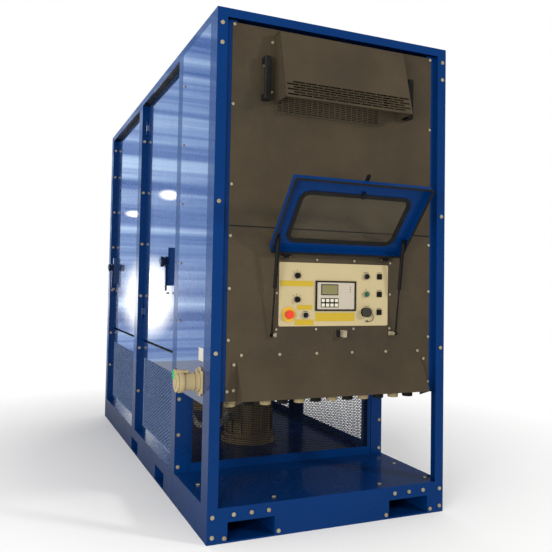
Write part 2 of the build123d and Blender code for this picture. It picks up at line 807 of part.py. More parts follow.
latch_nut = 14.5
lever_reach = 79.0
lever_width = 18.0
lever_t = 6.0
cam_reach = 24.0
cam_width = 12.0
cam_from = 12.0
with BuildPart() as cover_latch:
    with BuildSketch(cover_plane(-14)):
        with Locations((latch_x, latch_along)):
            Circle(13)
    extrude(amount=lever_t)
    with BuildSketch(cover_plane(-9)):
        with Locations((latch_x, latch_along)):
            Circle(latch_bore + 1.3)
    extrude(amount=9 - seat)
    with BuildSketch(cover_plane(-14)):
        with Locations((latch_x, latch_along + lever_reach / 2)):
            SlotOverall(lever_reach + lever_width, lever_width, rotation=90)
    extrude(amount=lever_t)
    with BuildSketch(cover_plane(-1)):
        with Locations((latch_x, latch_along)):
            Circle(latch_bore - 0.1)
    extrude(amount=cam_from + 2)
    with BuildSketch(cover_plane(cover_wall + seat)):
        with Locations((latch_x, latch_along)):
            RegularPolygon(latch_nut / 2, 6, major_radius=False)
    extrude(amount=5)
    with BuildSketch(cover_plane(cam_from)):
        with Locations((latch_x, latch_along - cam_reach / 2)):
            SlotOverall(cam_reach + cam_width / 2, cam_width, rotation=90)
    extrude(amount=4)
keep(cover_latch, "cover_latch")

catch_z = pin_z - cover_pin_above - latch_along
catch_half = 16.0
catch_out = 36.0
with BuildPart() as cover_brackets:
    outline = ((latch_x + 11, panel_y - catch_out), (latch_x + 31, panel_y - catch_out),
               (latch_x + 31, panel_y), (latch_x - 9, panel_y))
    extrude(folded(Plane.XY.offset(catch_z - catch_half), outline, leaf_t),
            amount=2 * catch_half)
    ear_in = strut_half - eye_t / 2 - stud_gap
    for sign in (-1, 1):
        ear = sorted((sign * (ear_in - 8), sign * (ear_in - 8 - 3)))
        block(ear, (strut_foot.Y - 8, panel_y), (strut_foot.Z - 9, strut_foot.Z + 9))
        foot_x = sorted((sign * (ear_in - 8), sign * (ear_in - 26)))
        block(foot_x, (panel_y - leaf_t, panel_y), (strut_foot.Z - 9, strut_foot.Z + 9))
        pin_x = sorted((sign * (ear_in - 10), sign * ear_in))
        with BuildSketch(x_plane(Vector(pin_x[0], 0, 0) + strut_foot)):
            Circle(eye_radius - 2)
        extrude(amount=pin_x[1] - pin_x[0])
keep(cover_brackets, "cover_brackets")

# ---------------------------------------------------------------- gas struts
strut_dir = (strut_foot - strut_head).normalized()
strut_open = (strut_foot - strut_head).length
tube_end = strut_shut - 11
tube_wall = 2.0
rod_from = tube_end - 12


def along_strut(x, distance):
    """Plane across a strut, a distance from its head, facing its foot."""
    origin = Vector(x, 0, 0) + strut_head + strut_dir * distance
    return Plane(origin=origin, x_dir=(1, 0, 0), z_dir=strut_dir)


def eye(x, centre):
    """Eye at a strut's end, to be bored when the rest is on."""
    with BuildSketch(x_plane(Vector(x - eye_t / 2, 0, 0) + centre)) as ring:
        Circle(eye_radius)
    extrude(ring.sketch, amount=eye_t)


def bore_eye(x, centre, radius):
    """Pin hole through an eye."""
    with BuildSketch(x_plane(Vector(x - eye_t, 0, 0) + centre)) as hole:
        Circle(radius)
    extrude(hole.sketch, amount=2 * eye_t, mode=Mode.SUBTRACT)


def strut_tube(x):
    """Cylinder of a strut with its head eye and a bore for the rod."""
    eye(x, strut_head)
    with BuildSketch(along_strut(x, 0)) as neck:
        Circle(rod_radius)
    extrude(neck.sketch, amount=14)
    with BuildSketch(along_strut(x, 11)) as barrel:
        Circle(strut_radius)
    extrude(barrel.sketch, amount=tube_end - 11)
    with BuildSketch(along_strut(x, 16)) as chamber:
        Circle(strut_radius - tube_wall)
    extrude(chamber.sketch, amount=tube_end - 16 - 6, mode=Mode.SUBTRACT)
    with BuildSketch(along_strut(x, tube_end - 8)) as guide:
        Circle(rod_radius + running)
    extrude(guide.sketch, amount=10, mode=Mode.SUBTRACT)
    bore_eye(x, strut_head, eye_pin + running)


def strut_rod(x):
    """Rod of a strut with its foot eye."""
    eye(x, strut_foot)
    with BuildSketch(along_strut(x, rod_from)) as rod:
        Circle(rod_radius)
    extrude(rod.sketch, amount=strut_open - rod_from - 2)
    bore_eye(x, strut_foot, eye_pin + 0.5)


with BuildPart() as left_strut_tube:
    strut_tube(-strut_half)
keep(left_strut_tube, "left_strut_tube")

with BuildPart() as left_strut_rod:
    strut_rod(-strut_half)
keep(left_strut_rod, "left_strut_rod")

with BuildPart() as right_strut_tube:
    strut_tube(strut_half)
keep(right_strut_tube, "right_strut_tube")

with BuildPart() as right_strut_rod:
    strut_rod(strut_half)
keep(right_strut_rod, "right_strut_rod")

# ---------------------------------------------------------------- power receptacle
receptacle_place = (station(140.0), 660.0)      # Y and Z of its axis, on the left side
receptacle_flange = 114.0
receptacle_flange_t = 12.0
receptacle_reach = 104.0
receptacle_radius = 45.0
receptacle_bore = 36.0
receptacle_rim = 50.0
contact_depth = 60.0
flap_t = 11.5
flap_pin = (half_w + receptacle_reach - 2, receptacle_place[1] + receptacle_rim + 8)


def receptacle_plane(out):
    """Plane facing left at the receptacle's axis, a distance out from the side."""
    return Plane(origin=(-half_w - out, *receptacle_place), x_dir=(0, -1, 0), z_dir=(-1, 0, 0))


def y_plane(x, y, z):
    """Plane facing +Y, for the flap's pin and knuckle."""
    return Plane(origin=(x, y, z), x_dir=(-1, 0, 0), z_dir=(0, 1, 0))


lug_gap = 12.5
with BuildPart() as receptacle_body:
    with BuildSketch(receptacle_plane(0)):
        RectangleRounded(receptacle_flange, receptacle_flange, 12)
    extrude(amount=receptacle_flange_t)
    with BuildSketch(receptacle_plane(receptacle_flange_t)):
        Circle(receptacle_radius + 5)
    extrude(amount=14, taper=20)
    with BuildSketch(receptacle_plane(receptacle_flange_t)):
        Circle(receptacle_radius)
    extrude(amount=receptacle_reach - receptacle_flange_t)
    with BuildSketch(receptacle_plane(receptacle_reach - 16)):
        Circle(receptacle_rim)
    extrude(amount=16)
    with BuildSketch(receptacle_plane(receptacle_reach)):
        Circle(receptacle_bore)
    extrude(amount=-contact_depth, mode=Mode.SUBTRACT)
    with BuildSketch(receptacle_plane(receptacle_reach - contact_depth)):
        with PolarLocations(20, 4, 45):
            Circle(5)
    extrude(amount=contact_depth - 14)
    for sign in (-1, 1):
        lug = sorted((sign * lug_gap, sign * (lug_gap + 7)))
        block((-half_w - receptacle_reach, -flap_pin[0] + 6),
              (receptacle_place[0] + lug[0], receptacle_place[0] + lug[1]),
              (receptacle_place[1] + receptacle_radius - 3, flap_pin[1]))
        with BuildSketch(y_plane(-flap_pin[0], receptacle_place[0] + lug[0], flap_pin[1])):
            Circle(6)
        extrude(amount=lug[1] - lug[0])
    with BuildSketch(y_plane(-flap_pin[0], receptacle_place[0] - lug_gap - 7, flap_pin[1])):
        Circle(3)
    extrude(amount=2 * lug_gap + 14)
keep(receptacle_body, "receptacle_body")

with BuildPart() as receptacle_flap:
    with BuildSketch(receptacle_plane(receptacle_reach + seat)):
        Circle(receptacle_rim)
    extrude(amount=flap_t)
    flap_out = half_w + receptacle_reach + seat
    block((-flap_out - flap_t, -flap_out - 2),
          (receptacle_place[0] - lug_gap + 0.5, receptacle_place[0] + lug_gap - 0.5),
          (receptacle_place[1] + receptacle_rim - 8, flap_pin[1]))
    with BuildSketch(y_plane(-flap_pin[0], receptacle_place[0] - lug_gap + 0.5, flap_pin[1])):
        Circle(6)
    extrude(amount=2 * lug_gap - 1)
    with BuildSketch(y_plane(-flap_pin[0], receptacle_place[0] - lug_gap, flap_pin[1])):
        Circle(3 + running)
    extrude(amount=2 * lug_gap, mode=Mode.SUBTRACT)
keep(receptacle_flap, "receptacle_flap")

# ---------------------------------------------------------------- cable bay
connector_count = 12
connector_span = 954.0
connector_station = 120.0
connector_heights = (5.0, 22.0, 14.0)
connector_radii = (30.0, 24.0, 27.0)
grip_flats = 16
with BuildPart() as cable_connectors:
    level = panel_bottom
    for tall, radius in zip(connector_heights, connector_radii):
        with BuildSketch(Plane.XY.offset(level)):
            with Locations((0, station(connector_station))):
                with GridLocations(connector_span / (connector_count - 1), 1, connector_count, 1):
                    RegularPolygon(radius, grip_flats)
        extrude(amount=-tall)
        level -= tall
keep(cable_connectors, "cable_connectors")

screen_front = divider_front + frame_wall + seat
bay_screen_half = 570.0
conduit_radius = 11.0
conduit_top = panel_bottom - 12
conduit_route = [(-555, station(500), conduit_top), (-555, station(502), 500),
                 (-548, station(508), 432), (-515, station(514), 385),
                 (-470, station(517), 368), (-436, station(517), 366)]


with BuildPart() as motor_conduit:
    cord_tube(conduit_route, conduit_radius, 10)
    with BuildSketch(Plane.XY.offset(conduit_top)):
        with Locations(conduit_route[0][:2]):
            RegularPolygon(conduit_radius + 5, 6, major_radius=False)
    extrude(amount=panel_bottom - conduit_top)
    end_x, end_y, end_z = conduit_route[-1]
    with BuildSketch(x_plane((end_x, end_y, end_z))):
        Circle(conduit_radius + 4)
    extrude(amount=14)
    with BuildSketch(x_plane((end_x + 14, end_y, end_z))):
        Circle(conduit_radius + 2)
    extrude(amount=16)
    with BuildSketch(Plane(origin=(end_x + 30, end_y - conduit_radius - 2, end_z),
                           x_dir=(1, 0, 0), z_dir=(0, 1, 0))):
        Circle(conduit_radius + 2)
    extrude(amount=station(screen_front) - end_y + conduit_radius + 2)
keep(motor_conduit, "motor_conduit")

brick = (108.0, 44.0)
brick_pitch = (128.0, 58.0)
brick_rows = 7
brick_columns = 8
screen_edge = 35.0
with BuildPart() as divider_screen:
    low, high = deck_top, panel_bottom - 1
    with BuildSketch(front_plane(screen_front)):
        with Locations((0, (low + high) / 2)):
            Rectangle(2 * bay_screen_half, high - low)
        for row in range(brick_rows):
            shift = brick_pitch[0] / 4 * (1 - 2 * (row % 2))
            with Locations((shift, low + screen_edge + brick_pitch[1] * (row + 0.5))):
                with GridLocations(brick_pitch[0], 1, brick_columns, 1):
                    Rectangle(*brick, mode=Mode.SUBTRACT)
    extrude(amount=-sheet)
    x_leg = half_w - channel_depth
    block((-x_leg + seat, x_leg - seat), (station(screen_front) - 3.5, station(screen_front)),
          (low, low + screen_edge))
keep(divider_screen, "divider_screen")

# ---------------------------------------------------------------- fan bays
bays = ((divider_rear, mid_front), (mid_rear, rear_front))
mesh_pitch = (190.0, 95.0)
mesh_strand = 16.0
with BuildPart() as intake_screens:
    low, high = deck_top, door_bottom - screen_gap
    screen_out = half_w - door_recess - 1
    for bay_from, bay_to in bays:
        bay_mid = (bay_from + bay_to) / 2
        opening_half = (bay_to - bay_from) / 2 - screen_margin
        with BuildSketch(left_plane(-screen_out)):
            with Locations((-station(bay_mid), (low + high) / 2)):
                Rectangle(bay_to - bay_from - 2 * seat, high - low)
            columns = int(2 * opening_half / mesh_pitch[0])
            rows = int((screen_top - screen_bottom) / mesh_pitch[1])
            middle = (-station(bay_mid), (screen_bottom + screen_top) / 2)
            half_x = (mesh_pitch[0] - mesh_strand) / 2
            half_y = (mesh_pitch[1] - mesh_strand) / 2
            for count_x, count_y in ((columns, rows), (columns - 1, rows - 1)):
                with Locations(middle):
                    with GridLocations(mesh_pitch[0], mesh_pitch[1], count_x, count_y):
                        Polygon((-half_x, 0), (0, -half_y), (half_x, 0), (0, half_y),
                                mode=Mode.SUBTRACT)
        extrude(amount=-screen_t)
    mirror(about=Plane.YZ)
keep(intake_screens, "intake_screens")

fan_stations = tuple((start + end) / 2 for start, end in bays)
with BuildPart() as fan_shrouds:
    for (bay_from, bay_to), centre in zip(bays, fan_stations):
        with BuildSketch(Plane.XY.offset(fan_deck)):
            with Locations((0, station(centre))):
                Rectangle(2 * (x_leg - seat), bay_to - bay_from - 2 * seat)
                Circle(fan_radius + fan_tip_gap, mode=Mode.SUBTRACT)
        extrude(amount=fan_deck_t)
        with BuildSketch(Plane.XY.offset(fan_deck - fan_ring_height)):
            with Locations((0, station(centre))):
                Circle(fan_radius + fan_tip_gap + frame_wall)
                Circle(fan_radius + fan_tip_gap, mode=Mode.SUBTRACT)
        extrude(amount=fan_ring_height)
keep(fan_shrouds, "fan_shrouds")

fin_count = 14
fin_t = 6.0
fin_depth = 14.0
fin_low = motor_foot_top + 24
fin_high = motor_top - 30
boss_radius = 60.0
boss_height = 15.0
shaft_low = motor_top - 15
with BuildPart() as fan_motors:
    for centre in fan_stations:
        place = (0, station(centre))
        with BuildSketch(Plane.XY.offset(deck_top)):
            with Locations(place):
                Circle(motor_foot_radius)
        extrude(amount=motor_foot_top - deck_top)
        with BuildSketch(Plane.XY.offset(motor_foot_top)):
            with Locations(place):
                Circle(motor_radius)
        extrude(amount=motor_top - motor_foot_top)
        with BuildSketch(Plane.XY.offset(motor_top)):
            with Locations(place):
                Circle(boss_radius)
        extrude(amount=boss_height)
        with BuildSketch(Plane.XY.offset(fin_low)):
            with Locations(place):
                Circle(motor_radius + 1)
                Circle(motor_radius - fin_depth, mode=Mode.SUBTRACT)
                with PolarLocations(motor_radius - fin_depth / 2, fin_count):
                    Rectangle(fin_depth + 4, fin_t, mode=Mode.SUBTRACT)
        extrude(amount=fin_high - fin_low, mode=Mode.SUBTRACT)
        with BuildSketch(Plane.XY.offset(shaft_low)):
            with Locations(place):
                Circle(shaft_radius + running)
        extrude(amount=motor_top + boss_height - shaft_low + 1, mode=Mode.SUBTRACT)
keep(fan_motors, "fan_motors")

blade_count = 6
blade_t = 6.0
hub_radius = 95.0
hub_low = 590.0
hub_height = 100.0
blade_sections = ((hub_radius - 8, 128.0, 40.0), (386.0, 190.0, 21.0))


def impeller(centre):
    """Fan wheel: a hub on its shaft with twisted blades, each section flatter than the last."""
    y = station(centre)
    middle = hub_low + hub_height / 2
    with BuildSketch(Plane.XY.offset(shaft_low + seat)) as shaft:
        with Locations((0, y)):
            Circle(shaft_radius)
    extrude(shaft.sketch, amount=hub_low + hub_height - shaft_low)
    with BuildSketch(Plane.XY.offset(hub_low)) as hub:
        with Locations((0, y)):
            Circle(hub_radius)
    extrude(hub.sketch, amount=hub_height)
    for number in range(blade_count):
        turn = 2 * math.pi * number / blade_count
        out = Vector(math.cos(turn), math.sin(turn), 0)
        across = Vector(-math.sin(turn), math.cos(turn), 0)
        sections = []
        for radius, chord, pitch in blade_sections:
            place = Vector(0, y, middle) + out * radius
            with BuildSketch(Plane(origin=place, x_dir=across, z_dir=out)) as section:
                Rectangle(chord, blade_t, rotation=pitch)
            sections.append(section.sketch)
        loft(sections, ruled=True)


with BuildPart() as front_impeller:
    impeller(fan_stations[0])
keep(front_impeller, "front_impeller")

with BuildPart() as rear_impeller:
    impeller(fan_stations[1])
keep(rear_impeller, "rear_impeller")

rack_half = 480.0
rack_margin = 62.0
rack_angle = 32.0
rack_wall = 4.0
rack_top = height - 220
first_tier = fan_deck + 184
tier_count = 5
tier_pitch = (rack_top - 200 - first_tier) / (tier_count - 1)
tier_heights = tuple(first_tier + tier_pitch * number for number in range(tier_count))
ribbon_count = 7
ribbon = (8.0, 60.0)
with BuildPart() as element_racks:
    for bay_from, bay_to in bays:
        low_y, high_y = station(bay_from + rack_margin), station(bay_to - rack_margin)
        for x_sign in (-1, 1):
            x_face = sorted((x_sign * rack_half, x_sign * (rack_half - rack_wall)))
            x_foot = sorted((x_sign * rack_half, x_sign * (rack_half - rack_angle)))
            for edge, y_sign in ((low_y, 1), (high_y, -1)):
                height_span = (fan_deck + fan_deck_t, rack_top)
                block(x_face, sorted((edge, edge + y_sign * rack_angle)), height_span)
                block(x_foot, sorted((edge, edge + y_sign * rack_wall)), height_span)
            for tier in tier_heights:
                x_rail = sorted((x_sign * (rack_half - rack_wall),
                                 x_sign * (rack_half - 2 * rack_wall)))
                block(x_rail, (low_y + rack_wall, high_y - rack_wall), (tier - 40, tier))
        reach = rack_half - rack_wall
        ribbon_pitch = (high_y - low_y - 2 * rack_angle - 40) / (ribbon_count - 1)
        for tier in tier_heights:
            with BuildSketch(Plane.XY.offset(tier - 30)):
                with Locations((0, (low_y + high_y) / 2)):
                    with GridLocations(1, ribbon_pitch, 1, ribbon_count):
                        Rectangle(2 * reach, ribbon[0])
            extrude(amount=ribbon[1])
keep(element_racks, "element_racks")

# ---------------------------------------------------------------- doors
door_out = half_w - door_recess         # outer face of the doors
door_top = rail_bottom - door_top_gap
hinge_out = door_out + hinge_barrel + 0.5
hinge_inset = 10.0                      # hinge axis, from the mid post
hinge_heights = (door_bottom + 180, door_top - 140)
hinge_middle = 40.0
hinge_end = 24.0
lock_height = 1224.0
lock_inset = 260.0                      # lock, from the front bay's far edge
rear_lock_inset = 80.0
lock_width = 44.0
lock_low = 1092.0
lock_high = 1302.0
lock_t = 26.0
lever_down = 150.0
spindle = 8.0


def door(bay, hinge_at_start, lock_station):
    """Left door of a bay: a folded pan with its moving knuckles and the lock's housing."""
    start, end = bay[0] + door_gap, bay[1] - door_gap
    block((-door_out, -door_out + door_depth), (station(start), station(end)),
          (door_bottom, door_top))
    block((-door_out + sheet, -door_out + door_depth + 1),
          (station(start) + sheet, station(end) - sheet),
          (door_bottom + sheet, door_top - sheet), mode=Mode.SUBTRACT)
    block((-door_out - lock_t, -door_out),
          (station(lock_station) - lock_width / 2, station(lock_station) + lock_width / 2),
          (lock_low, lock_high))
    with BuildSketch(left_plane(-door_out - lock_t)) as socket:
        with Locations((-station(lock_station), lock_height)):
            Circle(spindle + running)
    extrude(socket.sketch, amount=-lock_t + 8, mode=Mode.SUBTRACT)
    axis_y = station(hinge_axis(bay, hinge_at_start))
    inward = 1 if hinge_at_start else -1
    for level in hinge_heights:
        with BuildSketch(Plane.XY.offset(level - hinge_middle / 2)) as knuckle:
            with Locations((-hinge_out, axis_y)):
                Circle(hinge_barrel)
        extrude(knuckle.sketch, amount=hinge_middle)
        block((-door_out - 3, -door_out), sorted((axis_y, axis_y + inward * 36)),
              (level - hinge_middle / 2, level + hinge_middle / 2))
        with BuildSketch(Plane.XY.offset(level - hinge_middle)) as bore:
            with Locations((-hinge_out, axis_y)):
                Circle(hinge_pin + running)
        extrude(bore.sketch, amount=2 * hinge_middle, mode=Mode.SUBTRACT)


def hinge_axis(bay, hinge_at_start):
    """Station of a door's hinge axis."""
    return bay[0] + hinge_inset if hinge_at_start else bay[1] - hinge_inset


def door_handle(lock_station):
    """Left handle: a round hub on its spindle and a lever that hangs from it."""
    with BuildSketch(left_plane(-door_out - lock_t - seat)) as hub:
        with Locations((-station(lock_station), lock_height)):
            Circle(lock_width / 2 + 8)
    extrude(hub.sketch, amount=14)
    with BuildSketch(left_plane(-door_out - lock_t - seat - 14)) as cap:
        with Locations((-station(lock_station), lock_height)):
            Circle(lock_width / 2)
    extrude(cap.sketch, amount=10)
    with BuildSketch(left_plane(-door_out - lock_t - seat)) as lever:
        with Locations((-station(lock_station), lock_height - lever_down / 2)):
            SlotOverall(lever_down + 22, 22, rotation=90)
        with Locations((-station(lock_station), lock_height - lever_down + 14)):
            Circle(5, mode=Mode.SUBTRACT)
    extrude(lever.sketch, amount=10)
    with BuildSketch(left_plane(-door_out - lock_t - seat)) as stem:
        with Locations((-station(lock_station), lock_height)):
            Circle(spindle)
    extrude(stem.sketch, amount=-lock_t + 10)


front_lock = bays[0][0] + door_gap + lock_inset - 54
rear_lock = bays[1][1] - rear_lock_inset
with BuildPart() as left_front_door:
    door(bays[0], False, front_lock)
keep(left_front_door, "left_front_door")

with BuildPart() as left_rear_door:
    door(bays[1], True, rear_lock)
keep(left_rear_door, "left_rear_door")

with BuildPart() as right_front_door:
    add(mirror(left_front_door.part, about=Plane.YZ, mode=Mode.PRIVATE))
keep(right_front_door, "right_front_door")

with BuildPart() as right_rear_door:
    add(mirror(left_rear_door.part, about=Plane.YZ, mode=Mode.PRIVATE))
keep(right_rear_door, "right_rear_door")

with BuildPart() as left_front_handle:
    door_handle(front_lock)
keep(left_front_handle, "left_front_handle")

with BuildPart() as left_rear_handle:
    door_handle(rear_lock)
keep(left_rear_handle, "left_rear_handle")

with BuildPart() as right_front_handle:
    add(mirror(left_front_handle.part, about=Plane.YZ, mode=Mode.PRIVATE))
keep(right_front_handle, "right_front_handle")

with BuildPart() as right_rear_handle:
    add(mirror(left_rear_handle.part, about=Plane.YZ, mode=Mode.PRIVATE))
keep(right_rear_handle, "right_rear_handle")

with BuildPart() as door_hinges:
    for bay, at_start in zip(bays, (False, True)):
        axis_y = station(hinge_axis(bay, at_start))
        post_y = station(bay[0] if at_start else bay[1])
        outward = 1 if post_y > axis_y else -1
        for level in hinge_heights:
            for start in (level - hinge_middle / 2 - 0.5 - hinge_end, level + hinge_middle / 2 + 0.5):
                with BuildSketch(Plane.XY.offset(start)):
                    with Locations((-hinge_out, axis_y)):
                        Circle(hinge_barrel)
                extrude(amount=hinge_end)
                block((-hinge_out - hinge_barrel, -hinge_out), sorted((axis_y, post_y)),
                      (start, start + hinge_end))
            block((-hinge_out - hinge_barrel - 12, -hinge_out),
                  sorted((post_y, post_y - outward * leaf_t)),
                  (level - hinge_middle / 2 - hinge_end, level + hinge_middle / 2 + hinge_end))
            pin_half = hinge_middle / 2 + hinge_end
            with BuildSketch(Plane.XY.offset(level - pin_half)):
                with Locations((-hinge_out, axis_y)):
                    Circle(hinge_pin)
            extrude(amount=2 * pin_half)
    mirror(about=Plane.YZ)
keep(door_hinges, "door_hinges")

# ---------------------------------------------------------------- bolts
bolt_across = 17.0
bolt_tall = 6.0
post_levels = (height - 70, height - 158, panel_seam + 100, panel_bottom + 213,
               base_height - 35, 31.0)
panel_levels = (panel_top - 10, hood_bottom - 25, panel_seam + 181, panel_seam - 46,
                plate_mid + 21.5, plate_bottom - 58, panel_bottom + 45)
with BuildPart() as bolts:
    front_sets = (
        (0.0, [(x, z) for x in (-587, 587) for z in post_levels]),
        (0.0, [(sign * x, base_height - 32) for sign in (-1, 1) for x in (327, 408, 490)]),
        (0.0, [(sign * x, 22.0) for sign in (-1, 1) for x in (279, 532)]),
        (post_return, [(x, z) for x in (-525, 525) for z in panel_levels]),
        (post_return, [(sign * x, cable_hood_top + 20) for sign in (-1, 1)
                       for x in (93, 279, 463)]),
        (post_return, [(x, z) for x in (-299, 299)
                       for z in (plate_top + 11, plate_mid + 4.5, plate_bottom - 14)]),
        (post_return, [(x, z) for x in (-99, 99) for z in (plate_top + 15, plate_bottom - 14)]),
        (post_return - sheet, [(x, z) for x in (-342, 342)
                               for z in (hood_top - 37, hood_bottom + 51)]),
        (post_return - sheet, [(x, z) for x in (-497, 497)
                               for z in (cable_hood_top - 20, cable_hood_lip + 38)]),
    )
    for distance, places in front_sets:
        bolt_heads(front_plane(distance), places, bolt_across, bolt_tall)
    for x, distance in ((550, 340), (555, 70), (278, 57)):
        bolt_heads(Plane.XY.offset(deck_top), [(sign * x, station(distance)) for sign in (-1, 1)],
                   bolt_across, bolt_tall)
    side_levels = (height - 210, height - 513, height - 813, height - 1113,
                   door_bottom + 180, panel_bottom + 45)
    side_places = [(-station(525), z) for z in side_levels]
    bolt_heads(left_plane(-half_w), side_places, bolt_across, bolt_tall)
    post_x = half_w - 18
    low_levels = (panel_bottom - 75, 340, base_height + 30)
    mid_levels = (height - 279, height - 620, height - 960, 1020, 680, 400)
    rear_levels = (height - 120, height - 342, height - 636, height - 926, 1040, 691, 429)
    for distance, levels in ((divider_front, low_levels), (mid_front, mid_levels),
                             (rear_front, rear_levels)):
        bolt_heads(front_plane(distance), [(sign * post_x, z) for sign in (-1, 1) for z in levels],
                   bolt_across, bolt_tall)
keep(bolts, "bolts")
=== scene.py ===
"""Generator load bank: finishes, fine meshes and studio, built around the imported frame.

Every length is in metres, in the frame's own axes: the control front faces -Y, the side
with the power receptacle faces -X, and the skid stands on Z = 0.
"""

import json
import logging
import math
from dataclasses import dataclass
from enum import Enum
from typing import Callable, Iterable, Protocol, Sequence

import bpy
from mathutils import Matrix, Vector


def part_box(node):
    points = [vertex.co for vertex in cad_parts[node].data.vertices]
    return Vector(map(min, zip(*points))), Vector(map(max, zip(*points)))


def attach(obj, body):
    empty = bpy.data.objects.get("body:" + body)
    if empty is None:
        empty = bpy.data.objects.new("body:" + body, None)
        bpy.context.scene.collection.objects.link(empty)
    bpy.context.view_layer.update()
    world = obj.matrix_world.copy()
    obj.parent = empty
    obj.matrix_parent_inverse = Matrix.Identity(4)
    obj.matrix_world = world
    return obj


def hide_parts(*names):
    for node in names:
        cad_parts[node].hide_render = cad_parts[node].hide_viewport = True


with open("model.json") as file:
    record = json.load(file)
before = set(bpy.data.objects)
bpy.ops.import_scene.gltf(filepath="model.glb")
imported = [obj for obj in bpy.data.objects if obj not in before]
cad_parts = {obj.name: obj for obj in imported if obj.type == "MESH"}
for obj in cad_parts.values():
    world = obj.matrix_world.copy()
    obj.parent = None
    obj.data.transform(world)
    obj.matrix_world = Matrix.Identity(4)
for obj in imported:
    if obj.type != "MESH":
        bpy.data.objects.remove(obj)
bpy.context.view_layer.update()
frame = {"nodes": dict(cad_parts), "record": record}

Colour = tuple[float, float, float]
Triple = tuple[float, float, float]
log = logging.getLogger("load_bank")


class Side(Enum):
    """A side of the cabinet, as the sign of its X."""

    LEFT = -1
    RIGHT = 1


class Axis(Enum):
    """An axis that a piece is turned to face along, from lying flat and facing up."""

    X = "X"
    Y = "Y"
    Z = "Z"


# ---------------------------------------------------------------- finishes


def linear(colour: Colour) -> tuple[float, float, float, float]:
    """Turns a screen colour into the linear one that shaders take.

    Args:
        colour: Red, green and blue as seen on screen, 0 to 1.

    Returns:
        The same colour in linear light, with full alpha.
    """
    values = [c / 12.92 if c <= 0.04045 else ((c + 0.055) / 1.055) ** 2.4 for c in colour]
    return (values[0], values[1], values[2], 1.0)


class Tree:
    """Short hand for laying out a material's nodes."""

    def __init__(self, name: str) -> None:
        """Makes a new material that holds only its shader and its output.

        Args:
            name: Name of the material.
        """
        self.material = bpy.data.materials.new(name)
        self.material.use_nodes = True
        self.nodes = self.material.node_tree.nodes
        self.links = self.material.node_tree.links
        self.shader = self.nodes["Principled BSDF"]
        self.coords = self.nodes.new("ShaderNodeTexCoord")

    def join(self, source: bpy.types.NodeSocket, target: bpy.types.NodeSocket) -> None:
        """Links one socket to another."""
        self.links.new(source, target)

    def mapped(self, scale: Triple) -> bpy.types.NodeSocket:
        """Gives the object's own coordinates, stretched by a scale.

        Args:
            scale: Scale on each axis.

        Returns:
            The scaled coordinates.
        """
        mapping = self.nodes.new("ShaderNodeMapping")
        mapping.inputs["Scale"].default_value = scale
        self.join(self.coords.outputs["Object"], mapping.inputs["Vector"])
        return mapping.outputs["Vector"]

    def noise(self, scale: float, detail: float = 3.0, roughness: float = 0.5,
              stretch: Triple = (1.0, 1.0, 1.0)) -> bpy.types.NodeSocket:
        """Adds a noise texture on the object's coordinates.

        Args:
            scale: Grains to the metre.
            detail: Octaves.
            roughness: Strength of the fine octaves.
            stretch: Further scale on each axis.

        Returns:
            The noise's value socket.
        """
        node = self.nodes.new("ShaderNodeTexNoise")
        node.inputs["Scale"].default_value = scale
        node.inputs["Detail"].default_value = detail
        node.inputs["Roughness"].default_value = roughness
        self.join(self.mapped(stretch), node.inputs["Vector"])
        return node.outputs["Fac"]

    def cells(self, scale: float) -> bpy.types.NodeSocket:
        """Adds a Voronoi texture, which gives each cell its own colour.

        Args:
            scale: Cells to the metre.

        Returns:
            The colour socket.
        """
        node = self.nodes.new("ShaderNodeTexVoronoi")
        node.inputs["Scale"].default_value = scale
        self.join(self.mapped((1.0, 1.0, 1.0)), node.inputs["Vector"])
        return node.outputs["Color"]

    def spread(self, value: bpy.types.NodeSocket, low: float, high: float,
               start: float = 0.3, end: float = 0.7) -> bpy.types.NodeSocket:
        """Maps a value from one range to another.

        Args:
            value: What to map.
            low: Value at the start of the range.
            high: Value at its end.
            start: Start of the range that is mapped.
            end: End of that range.

        Returns:
            The mapped value.
        """
        node = self.nodes.new("ShaderNodeMapRange")
        node.inputs["From Min"].default_value = start
        node.inputs["From Max"].default_value = end
        node.inputs["To Min"].default_value = low
        node.inputs["To Max"].default_value = high
        self.join(value, node.inputs["Value"])
        return node.outputs["Result"]

    def blend(self, fac: bpy.types.NodeSocket, first: Colour,
              second: Colour) -> bpy.types.NodeSocket:
        """Mixes two screen colours by a value.

        Args:
            fac: How far to go from the first to the second, 0 to 1.
            first: Screen colour at 0.
            second: Screen colour at 1.

        Returns:
            The mixed colour.
        """
        node = self.nodes.new("ShaderNodeMix")
        node.data_type = "RGBA"
        node.inputs["A"].default_value = linear(first)
        node.inputs["B"].default_value = linear(second)
        self.join(fac, node.inputs["Factor"])
        return node.outputs[2]

    def bump(self, heights: Sequence[tuple[bpy.types.NodeSocket, float]]) -> None:
        """Bumps the surface by one texture after another.

        Args:
            heights: Each texture's value and its height in metres.
        """
        below = None
        for value, height in heights:
            node = self.nodes.new("ShaderNodeBump")
            node.inputs["Distance"].default_value = height
            self.join(value, node.inputs["Height"])
            if below is not None:
                self.join(below, node.inputs["Normal"])
            below = node.outputs["Normal"]
        if below is not None:
            self.join(below, self.shader.inputs["Normal"])

    def put(self, **values: float) -> None:
        """Sets the shader's plain inputs by name, with underscores for spaces."""
        for name, value in values.items():
            self.shader.inputs[name.replace("_", " ")].default_value = value


def tinted(colour: Colour, amount: float) -> Colour:
    """Gives a lighter or darker colour.

    Args:
        colour: The colour to start from.
        amount: What to multiply it by.

    Returns:
        The new colour, kept within 0 to 1.
    """
    return tuple(min(1.0, max(0.0, c * amount)) for c in colour)


